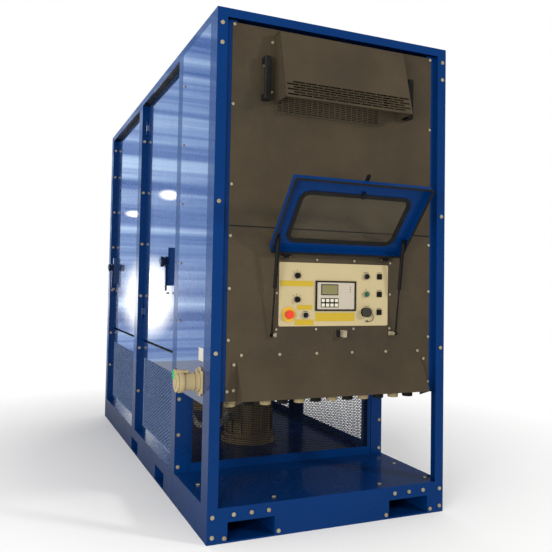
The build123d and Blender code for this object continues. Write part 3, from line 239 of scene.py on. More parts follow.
@dataclass(frozen=True)
class GlossCoat:
    """Smooth powder coat on sheet steel, which isn't quite flat."""

    name: str
    colour: Colour
    roughness: float = 0.26
    mottle: float = 0.03
    peel: float = 0.00001
    ripple: float = 0.0
    ripple_stretch: Triple = (0.16, 0.16, 5.5)
    lacquer: float = 0.25
    lacquer_ior: float = 1.5

    def material(self) -> bpy.types.Material:
        """Builds the finish.

        Returns:
            Its material.
        """
        tree = Tree(self.name)
        cloud = tree.noise(2.3, 5.0, 0.6)
        tint = tree.blend(tree.spread(cloud, 0.0, 1.0), tinted(self.colour, 1 - self.mottle),
                          tinted(self.colour, 1 + self.mottle))
        tree.join(tint, tree.shader.inputs["Base Color"])
        smear = tree.noise(7.0, 4.0, 0.6)
        tree.join(tree.spread(smear, self.roughness * 0.85, self.roughness * 1.2),
                  tree.shader.inputs["Roughness"])
        heights = [(tree.noise(420.0, 2.0), self.peel)]
        if self.ripple > 0:
            heights.append((tree.noise(2.4, 2.0, 0.45, self.ripple_stretch), self.ripple))
        tree.bump(heights)
        tree.put(Specular_IOR_Level=0.2, Coat_Weight=self.lacquer, Coat_Roughness=0.03,
                 Coat_IOR=self.lacquer_ior)
        return tree.material


@dataclass(frozen=True)
class WrinkleCoat:
    """Fine textured powder coat, matt, with the odd rub mark."""

    name: str
    colour: Colour
    roughness: float = 0.62
    grain: float = 0.00022
    grain_scale: float = 260.0
    wave: float = 0.0004

    def material(self) -> bpy.types.Material:
        """Builds the finish.

        Returns:
            Its material.
        """
        tree = Tree(self.name)
        cloud = tree.noise(3.0, 6.0, 0.62)
        grain = tree.noise(self.grain_scale, 2.5, 0.6)
        warm = tree.blend(tree.spread(cloud, 0.0, 1.0), tinted(self.colour, 0.90),
                          tinted(self.colour, 1.10))
        mix = tree.nodes.new("ShaderNodeMix")
        mix.data_type = "RGBA"
        mix.blend_type = "MULTIPLY"
        mix.inputs["Factor"].default_value = 0.35
        tree.join(warm, mix.inputs["A"])
        speckle = tree.blend(tree.spread(grain, 0.0, 1.0), (0.72, 0.72, 0.72), (1.0, 1.0, 1.0))
        tree.join(speckle, mix.inputs["B"])
        tree.join(mix.outputs[2], tree.shader.inputs["Base Color"])
        rub = tree.noise(14.0, 7.0, 0.7, (0.5, 0.5, 2.0))
        tree.join(tree.spread(rub, self.roughness * 0.8, self.roughness * 1.15, 0.35, 0.65),
                  tree.shader.inputs["Roughness"])
        tree.bump([(grain, self.grain), (tree.noise(2.2, 1.0, 0.4), self.wave)])
        tree.put(Specular_IOR_Level=0.4)
        return tree.material


@dataclass(frozen=True)
class PlatedMetal:
    """Bare or plated metal: zinc, chrome, brushed or cast alloy."""

    name: str
    colour: Colour
    tarnish: Colour
    roughness: float = 0.32
    grain_scale: float = 90.0
    grain: float = 0.00004
    brush: Triple = (1.0, 1.0, 1.0)
    metallic: float = 1.0

    def material(self) -> bpy.types.Material:
        """Builds the finish.

        Returns:
            Its material.
        """
        tree = Tree(self.name)
        stain = tree.noise(self.grain_scale * 0.4, 5.0, 0.6)
        tint = tree.blend(tree.spread(stain, 0.0, 1.0, 0.35, 0.7), self.colour, self.tarnish)
        tree.join(tint, tree.shader.inputs["Base Color"])
        streak = tree.noise(self.grain_scale, 4.0, 0.6, self.brush)
        tree.join(tree.spread(streak, self.roughness * 0.7, self.roughness * 1.35),
                  tree.shader.inputs["Roughness"])
        tree.bump([(streak, self.grain)])
        tree.put(Metallic=self.metallic)
        return tree.material


@dataclass(frozen=True)
class Galvanised:
    """Hot-dipped sheet with its spangle."""

    name: str
    colour: Colour
    scale: float = 55.0
    roughness: float = 0.38

    def material(self) -> bpy.types.Material:
        """Builds the finish.

        Returns:
            Its material.
        """
        tree = Tree(self.name)
        flake = tree.cells(self.scale)
        bright = tree.nodes.new("ShaderNodeSeparateColor")
        tree.join(flake, bright.inputs["Color"])
        tint = tree.blend(bright.outputs["Red"], tinted(self.colour, 0.78),
                          tinted(self.colour, 1.15))
        tree.join(tint, tree.shader.inputs["Base Color"])
        tree.join(tree.spread(bright.outputs["Green"], self.roughness * 0.7,
                              self.roughness * 1.4, 0.0, 1.0),
                  tree.shader.inputs["Roughness"])
        tree.bump([(tree.noise(30.0, 3.0), 0.00008)])
        tree.put(Metallic=0.9)
        return tree.material


@dataclass(frozen=True)
class Moulded:
    """Moulded plastic or rubber with a fine spark texture."""

    name: str
    colour: Colour
    roughness: float = 0.45
    grain: float = 0.00005
    grain_scale: float = 500.0
    coat: float = 0.0
    worn: float = 0.12

    def material(self) -> bpy.types.Material:
        """Builds the finish.

        Returns:
            Its material.
        """
        tree = Tree(self.name)
        dust = tree.noise(22.0, 6.0, 0.65)
        tint = tree.blend(tree.spread(dust, 0.0, 1.0, 0.35, 0.7), self.colour,
                          tuple(c + (0.62 - c) * self.worn for c in self.colour))
        tree.join(tint, tree.shader.inputs["Base Color"])
        spark = tree.noise(self.grain_scale, 2.0)
        tree.join(tree.spread(dust, self.roughness * 0.85, min(1.0, self.roughness * 1.25)),
                  tree.shader.inputs["Roughness"])
        tree.bump([(spark, self.grain)])
        tree.put(Coat_Weight=self.coat, Coat_Roughness=0.1)
        return tree.material


@dataclass(frozen=True)
class ClearSheet:
    """Clear glazing, with a faint tint and a few smears."""

    name: str
    colour: Colour
    alpha: float = 0.04

    def material(self) -> bpy.types.Material:
        """Builds the finish.

        Returns:
            Its material.
        """
        tree = Tree(self.name)
        tree.shader.inputs["Base Color"].default_value = linear(self.colour)
        smear = tree.noise(9.0, 6.0, 0.7, (1.0, 2.5, 1.0))
        tree.join(tree.spread(smear, 0.01, 0.06), tree.shader.inputs["Roughness"])
        tree.put(Alpha=self.alpha, IOR=1.3, Specular_IOR_Level=0.3)
        return tree.material


@dataclass(frozen=True)
class RibbedSleeve:
    """Ribbed flexible conduit that drops and then runs across."""

    name: str
    colour: Colour
    ribs: float = 150.0

    def material(self) -> bpy.types.Material:
        """Builds the finish, with rings counted down the drop and on along the run.

        Returns:
            Its material.
        """
        tree = Tree(self.name)
        wave = tree.nodes.new("ShaderNodeTexWave")
        wave.bands_direction = "DIAGONAL"
        wave.inputs["Scale"].default_value = self.ribs / 6.2832
        tree.join(tree.mapped((1.0, 0.0, -1.0)), wave.inputs["Vector"])
        # The grooves between the ribs are painted darker, down to 0.7 of the colour, by the same
        # wave that bumps them: painted shade in the grooves.
        tree.join(tree.blend(wave.outputs["Fac"], tinted(self.colour, 0.7), self.colour),
                  tree.shader.inputs["Base Color"])
        tree.bump([(wave.outputs["Fac"], 0.0016)])
        tree.put(Roughness=0.5)
        return tree.material


BLUE = (0.003, 0.17, 0.375)
TAUPE = (0.268, 0.230, 0.170)

FINISHES = (
    GlossCoat("blue_paint", BLUE),
    GlossCoat("panel_gloss", BLUE, peel=0.0, ripple=0.0007, lacquer=1.0,
              lacquer_ior=2.3),
    WrinkleCoat("grey_paint", TAUPE),
    GlossCoat("dark_paint", (0.045, 0.06, 0.12), roughness=0.4),
    GlossCoat("lock_paint", (0.02, 0.07, 0.19), roughness=0.3, lacquer=0.8),
    Galvanised("galvanised_steel", (0.62, 0.63, 0.64)),
    GlossCoat("blue_screen_paint", (0.50, 0.59, 0.76), roughness=0.3),
    PlatedMetal("zinc_plate", (0.70, 0.67, 0.58), (0.60, 0.53, 0.40), roughness=0.34,
                metallic=0.35),
    GlossCoat("cream_paint", (0.685, 0.625, 0.475), roughness=0.45, mottle=0.02, lacquer=0.0),
    Moulded("display_face", (0.685, 0.645, 0.575), roughness=0.4, worn=0.03),
    Moulded("white_keys", (0.80, 0.78, 0.70), roughness=0.5, worn=0.1),
    PlatedMetal("bezel_metal", (0.72, 0.70, 0.64), (0.55, 0.52, 0.45), roughness=0.25,
                metallic=0.4),
    Moulded("black_plastic", (0.075, 0.07, 0.062), roughness=0.42, worn=0.05),
    Moulded("green_plastic", (0.16, 0.36, 0.24), roughness=0.25, coat=0.5, worn=0.05),
    Moulded("red_plastic", (0.84, 0.20, 0.12), roughness=0.35, coat=0.3, worn=0.04),
    Moulded("grey_plastic", (0.20, 0.185, 0.165), roughness=0.5, worn=0.05),
    # Black rubber; the seam strip and the keeper's dark pad also take it, as painted shade.
    Moulded("black_rubber", (0.085, 0.08, 0.072), roughness=0.72, worn=0.05),
    ClearSheet("clear_window", (0.40, 0.41, 0.38)),
    GlossCoat("black_steel", (0.075, 0.065, 0.062), roughness=0.3),
    PlatedMetal("chromed_rod", (0.30, 0.28, 0.26), (0.20, 0.19, 0.18), roughness=0.16),
    Moulded("tan_plastic", (0.66, 0.59, 0.43), roughness=0.42, worn=0.1),
    RibbedSleeve("conduit_grey", (0.80, 0.79, 0.74)),
    WrinkleCoat("motor_paint", (0.50, 0.44, 0.32), roughness=0.5, grain=0.0004, wave=0.0),
    PlatedMetal("cast_alloy", (0.66, 0.67, 0.68), (0.50, 0.50, 0.50), roughness=0.42),
    Moulded("notice_yellow", (0.70, 0.585, 0.11), roughness=0.45, worn=0.1),
    Moulded("notice_white", (0.78, 0.76, 0.70), roughness=0.45, worn=0.08),
    Moulded("legend_ink", (0.16, 0.15, 0.14), roughness=0.6, worn=0.05),
    Moulded("lcd_glass", (0.47, 0.45, 0.30), roughness=0.18, coat=0.4, worn=0.03),
    Moulded("collar_yellow", (0.80, 0.62, 0.16), roughness=0.4, worn=0.08),
    Moulded("accent_green", (0.12, 0.70, 0.32), roughness=0.4, worn=0.03),
    # Near-black for painted shade: discs and sheets that stand in for the dark insides of the
    # outlet, the jack mouths and the receptacle's bore.
    Moulded("slot_shade", (0.05, 0.045, 0.04), roughness=0.8, worn=0.0),
    PlatedMetal("spring_steel", (0.30, 0.29, 0.28), (0.18, 0.16, 0.14), roughness=0.35),
)


class Finish(Protocol):
    """What every finish has: a name, and a way to build its material."""

    name: str

    def material(self) -> bpy.types.Material:
        """Builds the finish."""


class Paintbox:
    """Holds each finish's material, and puts them on the frame's nodes and on new pieces."""

    def __init__(self, finishes: Iterable[Finish]) -> None:
        """Builds every material once."""
        self.materials = {finish.name: finish.material() for finish in finishes}

    def dress(self, piece: bpy.types.Object, name: str) -> None:
        """Gives a piece one material all over."""
        piece.data.materials.clear()
        piece.data.materials.append(self.materials[name])

    def dress_frame(self, overrides: dict[str, str]) -> None:
        """Gives every node of the frame the finish of its slot.

        Args:
            overrides: Node names whose finish isn't named after their slot.
        """
        slots = {part["node"]: part["material_slot"] for part in frame["record"]["subparts"]}
        for node, piece in frame["nodes"].items():
            finish = self.materials[overrides.get(node, slots[node])]
            if not piece.material_slots:
                piece.data.materials.append(finish)
            for place in piece.material_slots:
                place.material = finish


# ---------------------------------------------------------------- modelling tools


class Bench:
    """Operators with the selection kept in hand, as a modeller would use them."""

    @staticmethod
    def clear() -> None:
        """Leaves object mode with nothing selected."""
        if bpy.context.object and bpy.context.object.mode != "OBJECT":
            bpy.ops.object.mode_set(mode="OBJECT")
        bpy.ops.object.select_all(action="DESELECT")

    @staticmethod
    def take(piece: bpy.types.Object) -> None:
        """Makes a piece the only one selected, and the active one.

        Args:
            piece: The piece to work on.
        """
        Bench.clear()
        piece.select_set(True)
        bpy.context.view_layer.objects.active = piece

    @staticmethod
    def settle(piece: bpy.types.Object) -> bpy.types.Object:
        """Moves a piece's place into its mesh, so its object sits at the origin.

        Args:
            piece: The piece to settle.

        Returns:
            The same piece.
        """
        Bench.take(piece)
        bpy.ops.object.transform_apply(location=True, rotation=True, scale=True)
        return piece

    @staticmethod
    def name(piece: bpy.types.Object, name: str) -> bpy.types.Object:
        """Names a piece and its mesh.

        Args:
            piece: The piece to name.
            name: Its name.

        Returns:
            The same piece.
        """
        piece.name = name
        piece.data.name = name
        return piece

    @staticmethod
    def modify(piece: bpy.types.Object, kind: str, **values: object) -> None:
        """Adds a modifier, sets it and applies it.

        Args:
            piece: The piece to change.
            kind: The modifier's type.
            values: What to set on it.
        """
        Bench.take(piece)
        modifier = piece.modifiers.new(kind.lower(), kind)
        for key, value in values.items():
            setattr(modifier, key, value)
        bpy.ops.object.modifier_apply(modifier=modifier.name)

    @staticmethod
    def edit(piece: bpy.types.Object, mode: str = "FACE") -> None:
        """Opens a piece for editing with everything deselected.

        Args:
            piece: The piece to open.
            mode: What is selected in it: VERT, EDGE or FACE.
        """
        Bench.take(piece)
        bpy.ops.object.mode_set(mode="EDIT")
        bpy.ops.mesh.select_mode(type=mode)
        bpy.ops.mesh.select_all(action="DESELECT")

    @staticmethod
    def pick(piece: bpy.types.Object, test: Callable[[Vector, Vector], bool]) -> None:
        """Selects the faces whose centre and normal pass a test.

        Args:
            piece: A piece open for editing.
            test: Takes a face's centre and normal.
        """
        bpy.ops.object.mode_set(mode="OBJECT")
        for face in piece.data.polygons:
            face.select = test(face.center, face.normal)
        bpy.ops.object.mode_set(mode="EDIT")

    @staticmethod
    def close() -> None:
        """Ends editing."""
        bpy.ops.object.mode_set(mode="OBJECT")

    @staticmethod
    def join(pieces: Sequence[bpy.types.Object], name: str) -> bpy.types.Object:
        """Joins pieces into one named mesh.

        Args:
            pieces: The pieces, of which the first takes in the rest.
            name: Name of the whole.

        Returns:
            The joined piece.
        """
        Bench.clear()
        for piece in pieces:
            piece.select_set(True)
        bpy.context.view_layer.objects.active = pieces[0]
        if len(pieces) > 1:
            bpy.ops.object.join()
        return Bench.name(pieces[0], name)

    @staticmethod
    def copy(piece: bpy.types.Object, offset: Triple) -> bpy.types.Object:
        """Copies a piece with its own mesh, moved by an offset that goes into the mesh.

        Args:
            piece: The piece to copy.
            offset: From the piece to its copy.

        Returns:
            The copy.
        """
        twin = piece.copy()
        twin.data = piece.data.copy()
        bpy.context.collection.objects.link(twin)
        twin.data.transform(Matrix.Translation(offset))
        return twin

    @staticmethod
    def slab(low: Triple, high: Triple, edge: float = 0.0) -> bpy.types.Object:
        """Box between two corners, its edges rounded.

        Args:
            low: Lowest corner.
            high: Highest corner.
            edge: Radius of its edges.

        Returns:
            The new piece.
        """
        Bench.clear()
        centre = [(a + b) / 2 for a, b in zip(low, high)]
        bpy.ops.mesh.primitive_cube_add(size=1, location=centre)
        piece = bpy.context.object
        piece.scale = [b - a for a, b in zip(low, high)]
        Bench.settle(piece)
        if edge > 0:
            Bench.modify(piece, "BEVEL", width=edge, segments=2, limit_method="ANGLE")
        return piece

    @staticmethod
    def disc(centre: Triple, radius: float, tall: float, axis: Axis, sides: int = 32,
             edge: float = 0.0) -> bpy.types.Object:
        """Round block that starts at a centre and stands along an axis.

        Args:
            centre: Middle of its near face.
            radius: Its radius.
            tall: Its length along the axis, negative to go the other way.
            axis: The axis that it stands along.
            sides: Flats round it.
            edge: Radius of its edges.

        Returns:
            The new piece.
        """
        Bench.clear()
        along = Vector([float(axis is a) for a in (Axis.X, Axis.Y, Axis.Z)])
        middle = Vector(centre) + along * tall / 2
        turn = {Axis.X: (0, math.pi / 2, 0), Axis.Y: (math.pi / 2, 0, 0), Axis.Z: (0, 0, 0)}[axis]
        bpy.ops.mesh.primitive_cylinder_add(vertices=sides, radius=radius, depth=abs(tall),
                                            location=middle, rotation=turn)
        piece = Bench.settle(bpy.context.object)
        if edge > 0:
            Bench.modify(piece, "BEVEL", width=edge, segments=2, limit_method="ANGLE")
        bpy.ops.object.shade_smooth_by_angle(angle=math.radians(40))
        return piece

    @staticmethod
    def patch(x: tuple[float, float], y: float, z: tuple[float, float]) -> bpy.types.Object:
        """Plain patch of sheet that faces forward.

        Args:
            x: Its limits along X.
            y: Where it stands.
            z: Its limits along Z.

        Returns:
            The new piece.
        """
        Bench.clear()
        bpy.ops.mesh.primitive_plane_add(size=1, rotation=(math.pi / 2, 0, 0), location=(
            (x[0] + x[1]) / 2, y, (z[0] + z[1]) / 2))
        piece = bpy.context.object
        piece.scale = (x[1] - x[0], z[1] - z[0], 1)
        return Bench.settle(piece)

    @staticmethod
    def slotted(corner: Triple, cell: tuple[float, float], opening: float) -> bpy.types.Object:
        """One slot in its patch of sheet.

        Args:
            corner: Lower left corner of the patch.
            cell: Length and height of the patch.
            opening: Height of the slot, which leaves the same border at its ends.

        Returns:
            The patch's border, as a flat mesh.
        """
        x, y, z = corner
        piece = Bench.patch((x, x + cell[0]), y, (z, z + cell[1]))
        Bench.edit(piece)
        bpy.ops.mesh.select_all(action="SELECT")
        bpy.ops.mesh.inset(thickness=(cell[1] - opening) / 2)
        bpy.ops.mesh.delete(type="FACE")
        Bench.close()
        return piece

    @staticmethod
    def row(piece: bpy.types.Object, count: int, step: Triple, **values: object) -> None:
        """Repeats a piece in a row.

        Args:
            piece: The first of the row, which becomes the whole row.
            count: How many there are.
            step: From one to the next.
            values: What else to set on the modifier.
        """
        Bench.modify(piece, "ARRAY", count=count, use_relative_offset=False,
                     use_constant_offset=True, constant_offset_displace=step, **values)

    @staticmethod
    def sheet_of_diamonds(x: float, y: tuple[float, float], z: tuple[float, float],
                          cell: tuple[float, float], strand: float) -> bpy.types.Object:
        """Expanded metal in a plane that faces along X.

        Args:
            x: Where the sheet stands.
            y: Its limits along Y.
            z: Its limits along Z.
            cell: Length and height of one diamond.
            strand: Thickness of its strands.

        Returns:
            The new mesh of strands.
        """
        wide, tall = y[1] - y[0], z[1] - z[0]
        Bench.clear()
        bpy.ops.mesh.primitive_grid_add(x_subdivisions=round(wide / cell[0]),
                                        y_subdivisions=round(tall / cell[1]), size=1)
        piece = bpy.context.object
        piece.scale = (wide, tall, 1)
        piece.rotation_euler = (math.pi / 2, 0, math.pi / 2)
        piece.location = (x, (y[0] + y[1]) / 2, (z[0] + z[1]) / 2)
        Bench.settle(piece)
        Bench.edit(piece, "EDGE")
        bpy.ops.mesh.select_all(action="SELECT")
        bpy.ops.mesh.poke()
        bpy.ops.mesh.select_all(action="DESELECT")
        bpy.ops.object.mode_set(mode="OBJECT")
        rim = (y[0] + 1e-4, y[1] - 1e-4, z[0] + 1e-4, z[1] - 1e-4)
        for edge in piece.data.edges:
            a, b = (piece.data.vertices[i].co for i in edge.vertices)
            middle = (a + b) / 2
            inside = rim[0] < middle.y < rim[1] and rim[2] < middle.z < rim[3]
            edge.select = inside and (abs(a.y - b.y) < 1e-6 or abs(a.z - b.z) < 1e-6)
        bpy.ops.object.mode_set(mode="EDIT")
        bpy.ops.mesh.dissolve_edges(use_verts=False)
        Bench.close()
        Bench.modify(piece, "WIREFRAME", thickness=strand, use_even_offset=True, offset=0.0)
        return piece


@dataclass
class Solid:
    """One loose solid of a CAD node, as the box round it."""

    low: Vector
    high: Vector

    @property
    def middle(self) -> Vector:
        """Centre of the box."""
        return (self.low + self.high) / 2

    @property
    def size(self) -> Vector:
        """Lengths of the box."""
        return self.high - self.low


def solids_of(node: str) -> list[Solid]:
    """Splits a CAD node into its loose solids.

    Args:
        node: The node's name.

    Returns:
        A box round each of them, in order of X, Y and Z.
    """
    mesh = frame["nodes"][node].data
    keys = {}
    spot = [keys.setdefault(tuple(round(c, 5) for c in v.co), v.index) for v in mesh.vertices]
    parent = {index: index for index in spot}

    def root(index: int) -> int:
        """Follows a vertex to the first one of its solid."""
        while parent[index] != index:
            parent[index] = parent[parent[index]]
            index = parent[index]
        return index

    for face in mesh.polygons:
        first = root(spot[face.vertices[0]])
        for other in face.vertices[1:]:
            parent[root(spot[other])] = first
    groups: dict[int, list[Vector]] = {}
    for index in parent:
        groups.setdefault(root(index), []).append(mesh.vertices[index].co)
    found = [Solid(Vector(map(min, *points)), Vector(map(max, *points)))
             for points in groups.values()]
    return sorted(found, key=lambda solid: tuple(solid.middle))


# ---------------------------------------------------------------- sub-assemblies


@dataclass
class SubAssembly:
    """A group of looks that is built from the frame's own places."""

    paint: Paintbox

    def place(self, piece: bpy.types.Object, finish: str, body: str, slot: str,
              replaced: Sequence[str] = ()) -> None:
        """Paints a finished piece and fixes it to a body of the frame.

        Args:
            piece: The finished piece, already named.
            finish: Name of its finish.
            body: CAD body that it moves with.
            slot: Material slot of the record that it belongs to; not used.
            replaced: CAD nodes that it stands for.
        """
        self.paint.dress(piece, finish)
        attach(piece, body)
        if replaced:
            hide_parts(*replaced)
        log.info("%s: %d faces, %s, on %s", piece.name, len(piece.data.polygons), finish, body)


@dataclass
class IntakeScreens(SubAssembly):
    """Expanded metal behind a sheet border, below each pair of doors."""

    margin: float = 0.075
    mesh_low: float = 0.192
    mesh_high: float = 0.624
    diamond: tuple[float, float] = (0.048, 0.020)
    strand: float = 0.0025

    def build(self) -> None:
        """Makes the borders of all four screens, and the mesh in each."""
        borders, meshes = [], []
        for screen in solids_of("intake_screens"):
            y = (screen.low.y + self.margin, screen.high.y - self.margin)
            z = (self.mesh_low, self.mesh_high)
            for low, high in (((screen.low.y, screen.low.z), (screen.high.y, z[0])),
                              ((screen.low.y, z[1]), (screen.high.y, screen.high.z)),
                              ((screen.low.y, z[0]), (y[0], z[1])),
                              ((y[1], z[0]), (screen.high.y, z[1]))):
                borders.append(Bench.slab((screen.low.x, *low), (screen.high.x, *high)))
            meshes.append(Bench.sheet_of_diamonds(screen.middle.x, y, z, self.diamond,
                                                  self.strand))
        border = Bench.join(borders, "intake_borders")
        self.place(border, "panel_gloss", "root", "blue_paint", ["intake_screens"])
        mesh = Bench.join(meshes, "intake_mesh")
        self.place(mesh, "blue_screen_paint", "root", "blue_screen_paint")


@dataclass
class DividerScreen(SubAssembly):
    """Perforated sheet with staggered slots between the cable bay and the first fan."""

    pitch: tuple[float, float] = (0.0185, 0.0094)
    opening: float = 0.0067
    border: float = 0.035
    sheet: float = 0.002
    lip_inset: float = 0.03
    lip: float = 0.004

    def build(self) -> None:
        """Makes two staggered rows and repeats them over the sheet."""
        low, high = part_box("divider_screen")
        back = high.y
        wide = high.x - low.x - 2 * self.border
        tall = high.z - low.z - 2 * self.border
        columns = int(wide / self.pitch[0])
        pairs = int(tall / (2 * self.pitch[1]))
        start_x = (low.x + high.x - columns * self.pitch[0]) / 2
        start_z = (low.z + high.z - pairs * 2 * self.pitch[1]) / 2
        rows = []
        for shift, level in ((0.0, start_z), (0.5 * self.pitch[0], start_z + self.pitch[1])):
            rows.append(Bench.slotted((start_x + shift, back - self.sheet, level), self.pitch,
                                      self.opening))
            Bench.row(rows[-1], columns - (shift > 0), (self.pitch[0], 0, 0))
        holes = Bench.join(rows, "divider_slots")
        Bench.row(holes, pairs, (0, 0, 2 * self.pitch[1]))
        Bench.modify(holes, "WELD", merge_threshold=0.0002)
        Bench.modify(holes, "SOLIDIFY", thickness=self.sheet, offset=0.0)
        edge_x = (start_x, start_x + columns * self.pitch[0])
        edge_z = (start_z, start_z + pairs * 2 * self.pitch[1])
        y = (back - 1.5 * self.sheet, back - 0.5 * self.sheet)
        half = self.pitch[0] / 2
        rims = [Bench.slab((low.x, y[0], low.z), (high.x, y[1], edge_z[0])),
                Bench.slab((low.x, y[0], edge_z[1]), (high.x, y[1], high.z)),
                Bench.slab((low.x, y[0], edge_z[0]), (edge_x[0] + half, y[1], edge_z[1])),
                Bench.slab((edge_x[1] - half, y[0], edge_z[0]), (high.x, y[1], edge_z[1])),
                Bench.slab((low.x + self.lip_inset, low.y, low.z),
                           (high.x - self.lip_inset, back, low.z + self.lip))]
        self.place(holes, "dark_paint", "root", "dark_paint", ["divider_screen"])
        self.place(Bench.join(rims, "divider_rim"), "blue_paint", "root", "blue_paint")


@dataclass
class MotorConduit(SubAssembly):
    """Flexible conduit that drops behind the divider screen and runs to the fan motor."""

    route: tuple[Triple, ...] = ((-0.534, -0.828, 0.583), (-0.533, -0.828, 0.505),
                                 (-0.522, -0.824, 0.425), (-0.480, -0.815, 0.374),
                                 (-0.400, -0.780, 0.345), (-0.300, -0.660, 0.330),
                                 (-0.210, -0.500, 0.330), (-0.148, -0.370, 0.340))
    radius: float = 0.0175
    nut_wall: float = 0.006
    nut_tall: float = 0.025
    box_half: float = 0.045
    box_back: float = 0.03
    box_ahead: float = 0.05

    def build(self) -> None:
        """Makes the conduit along its route, with a nut at its top and a box at its foot."""
        Bench.clear()
        bpy.ops.curve.primitive_nurbs_path_add()
        path = bpy.context.object
        spline = path.data.splines[0]
        spline.points.add(len(self.route) - len(spline.points))
        for point, place in zip(spline.points, self.route):
            point.co = (*place, 1.0)
        spline.use_endpoint_u = True
        spline.order_u = 4
        path.data.bevel_depth = self.radius
        path.data.bevel_resolution = 5
        path.data.use_fill_caps = True
        bpy.ops.object.convert(target="MESH")
        sleeve = Bench.settle(bpy.context.object)
        self.place(Bench.name(sleeve, "conduit_sleeve"), "conduit_grey", "root",
                   "conduit_grey", ["motor_conduit"])
        top, foot = self.route[0], self.route[-1]
        nut = Bench.disc((top[0], top[1], top[2] - 0.014), self.radius + self.nut_wall,
                         self.nut_tall, Axis.Z, 6, 0.001)
        half = self.box_half
        box = Bench.slab((foot[0] - self.box_back, foot[1] - half, foot[2] - half),
                         (foot[0] + self.box_ahead, foot[1] + half, foot[2] + half), 0.006)
        self.place(Bench.join([nut, box], "conduit_fittings"), "motor_paint", "root",
                   "motor_paint")


@dataclass
class VentHood(SubAssembly):
    """Hood over the panel's air outlet: a folded sheet with staggered slots near its lip."""

    flange: float = 0.025
    top_depth: float = 0.056
    sheet: float = 0.0025
    pitch: tuple[float, float] = (0.0612, 0.0125)
    opening: float = 0.0088
    rows: int = 6
    first_row: float = 0.0085

    def build(self) -> None:
        """Makes the slotted face, its sides, top and flanges."""
        low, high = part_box("vent_hood")
        left, right = low.x + self.flange, high.x - self.flange
        lean = math.atan2((high.y - self.top_depth) - low.y, high.z - low.z)
        tall = (high.z - low.z) / math.cos(lean)
        face = self.face(left, right, low.y, low.z, tall)
        Bench.take(face)
        bpy.ops.transform.rotate(value=lean, orient_axis="X",
                                 center_override=(0, low.y, low.z))
        Bench.settle(face)
        parts = [face]
        for inner, outer in ((left, left + self.sheet), (right - self.sheet, right)):
            parts.append(self.cheek(inner, outer, low, high))
        parts.append(Bench.slab((left, high.y - self.top_depth, high.z - self.sheet),
                                (right, high.y, high.z)))
        for start, end in ((low.x, left + 0.001), (right - 0.001, high.x)):
            parts.append(Bench.slab((start, high.y - self.sheet, low.z + 0.003),
                                    (end, high.y, high.z), 0.0006))
        parts.append(Bench.slab((left, low.y + 0.0012, low.z), (right, low.y + 0.014,
                                                              low.z + 0.002)))
        self.place(Bench.join(parts, "hood_shell"), "grey_paint", "root", "grey_paint",
                   ["vent_hood"])

    def face(self, left: float, right: float, y: float, z: float,
             tall: float) -> bpy.types.Object:
        """The front sheet, upright, with its slots in staggered rows.

        Args:
            left: Left end.
            right: Right end.
            y: Where it stands.
            z: Its foot.
            tall: Its height.

        Returns:
            The sheet, not yet leaned back.
        """
        columns = int((right - left) / self.pitch[0])
        start = (left + right) / 2 - columns * self.pitch[0] / 2
        rows = []
        for row in range(self.rows):
            shift = self.pitch[0] / 4 * (1 if row % 2 else -1)
            level = z + self.first_row + row * self.pitch[1]
            cells = Bench.slotted((start + shift, y, level), self.pitch, self.opening)
            Bench.row(cells, columns, (self.pitch[0], 0, 0))
            ends = (start + shift, start + shift + columns * self.pitch[0])
            rows += [cells, Bench.patch((left, ends[0]), y, (level, level + self.pitch[1])),
                     Bench.patch((ends[1], right), y, (level, level + self.pitch[1]))]
        top = z + self.first_row + self.rows * self.pitch[1]
        rows += [Bench.patch((left, right), y, (z, z + self.first_row)),
                 Bench.patch((left, right), y, (top, z + tall))]
        piece = Bench.join(rows, "hood_face")
        Bench.modify(piece, "WELD", merge_threshold=0.0001)
        Bench.modify(piece, "SOLIDIFY", thickness=self.sheet, offset=-1.0)
        return piece

    def cheek(self, inner: float, outer: float, low: Vector,
              high: Vector) -> bpy.types.Object:
        """Side of the hood, cut back towards its top.

        Args:
            inner: Where it stands along X, one face.
            outer: Its other face.
            low: Lowest corner of the hood.
            high: Highest corner of the hood.

        Returns:
            The side.
        """
        piece = Bench.slab((inner, low.y + 0.001, low.z), (outer, high.y, high.z))
        for vertex in piece.data.vertices:
            if vertex.co.y < low.y + 0.01 and vertex.co.z > high.z - 0.01:
                vertex.co.y = high.y - self.top_depth + 0.001
        return piece


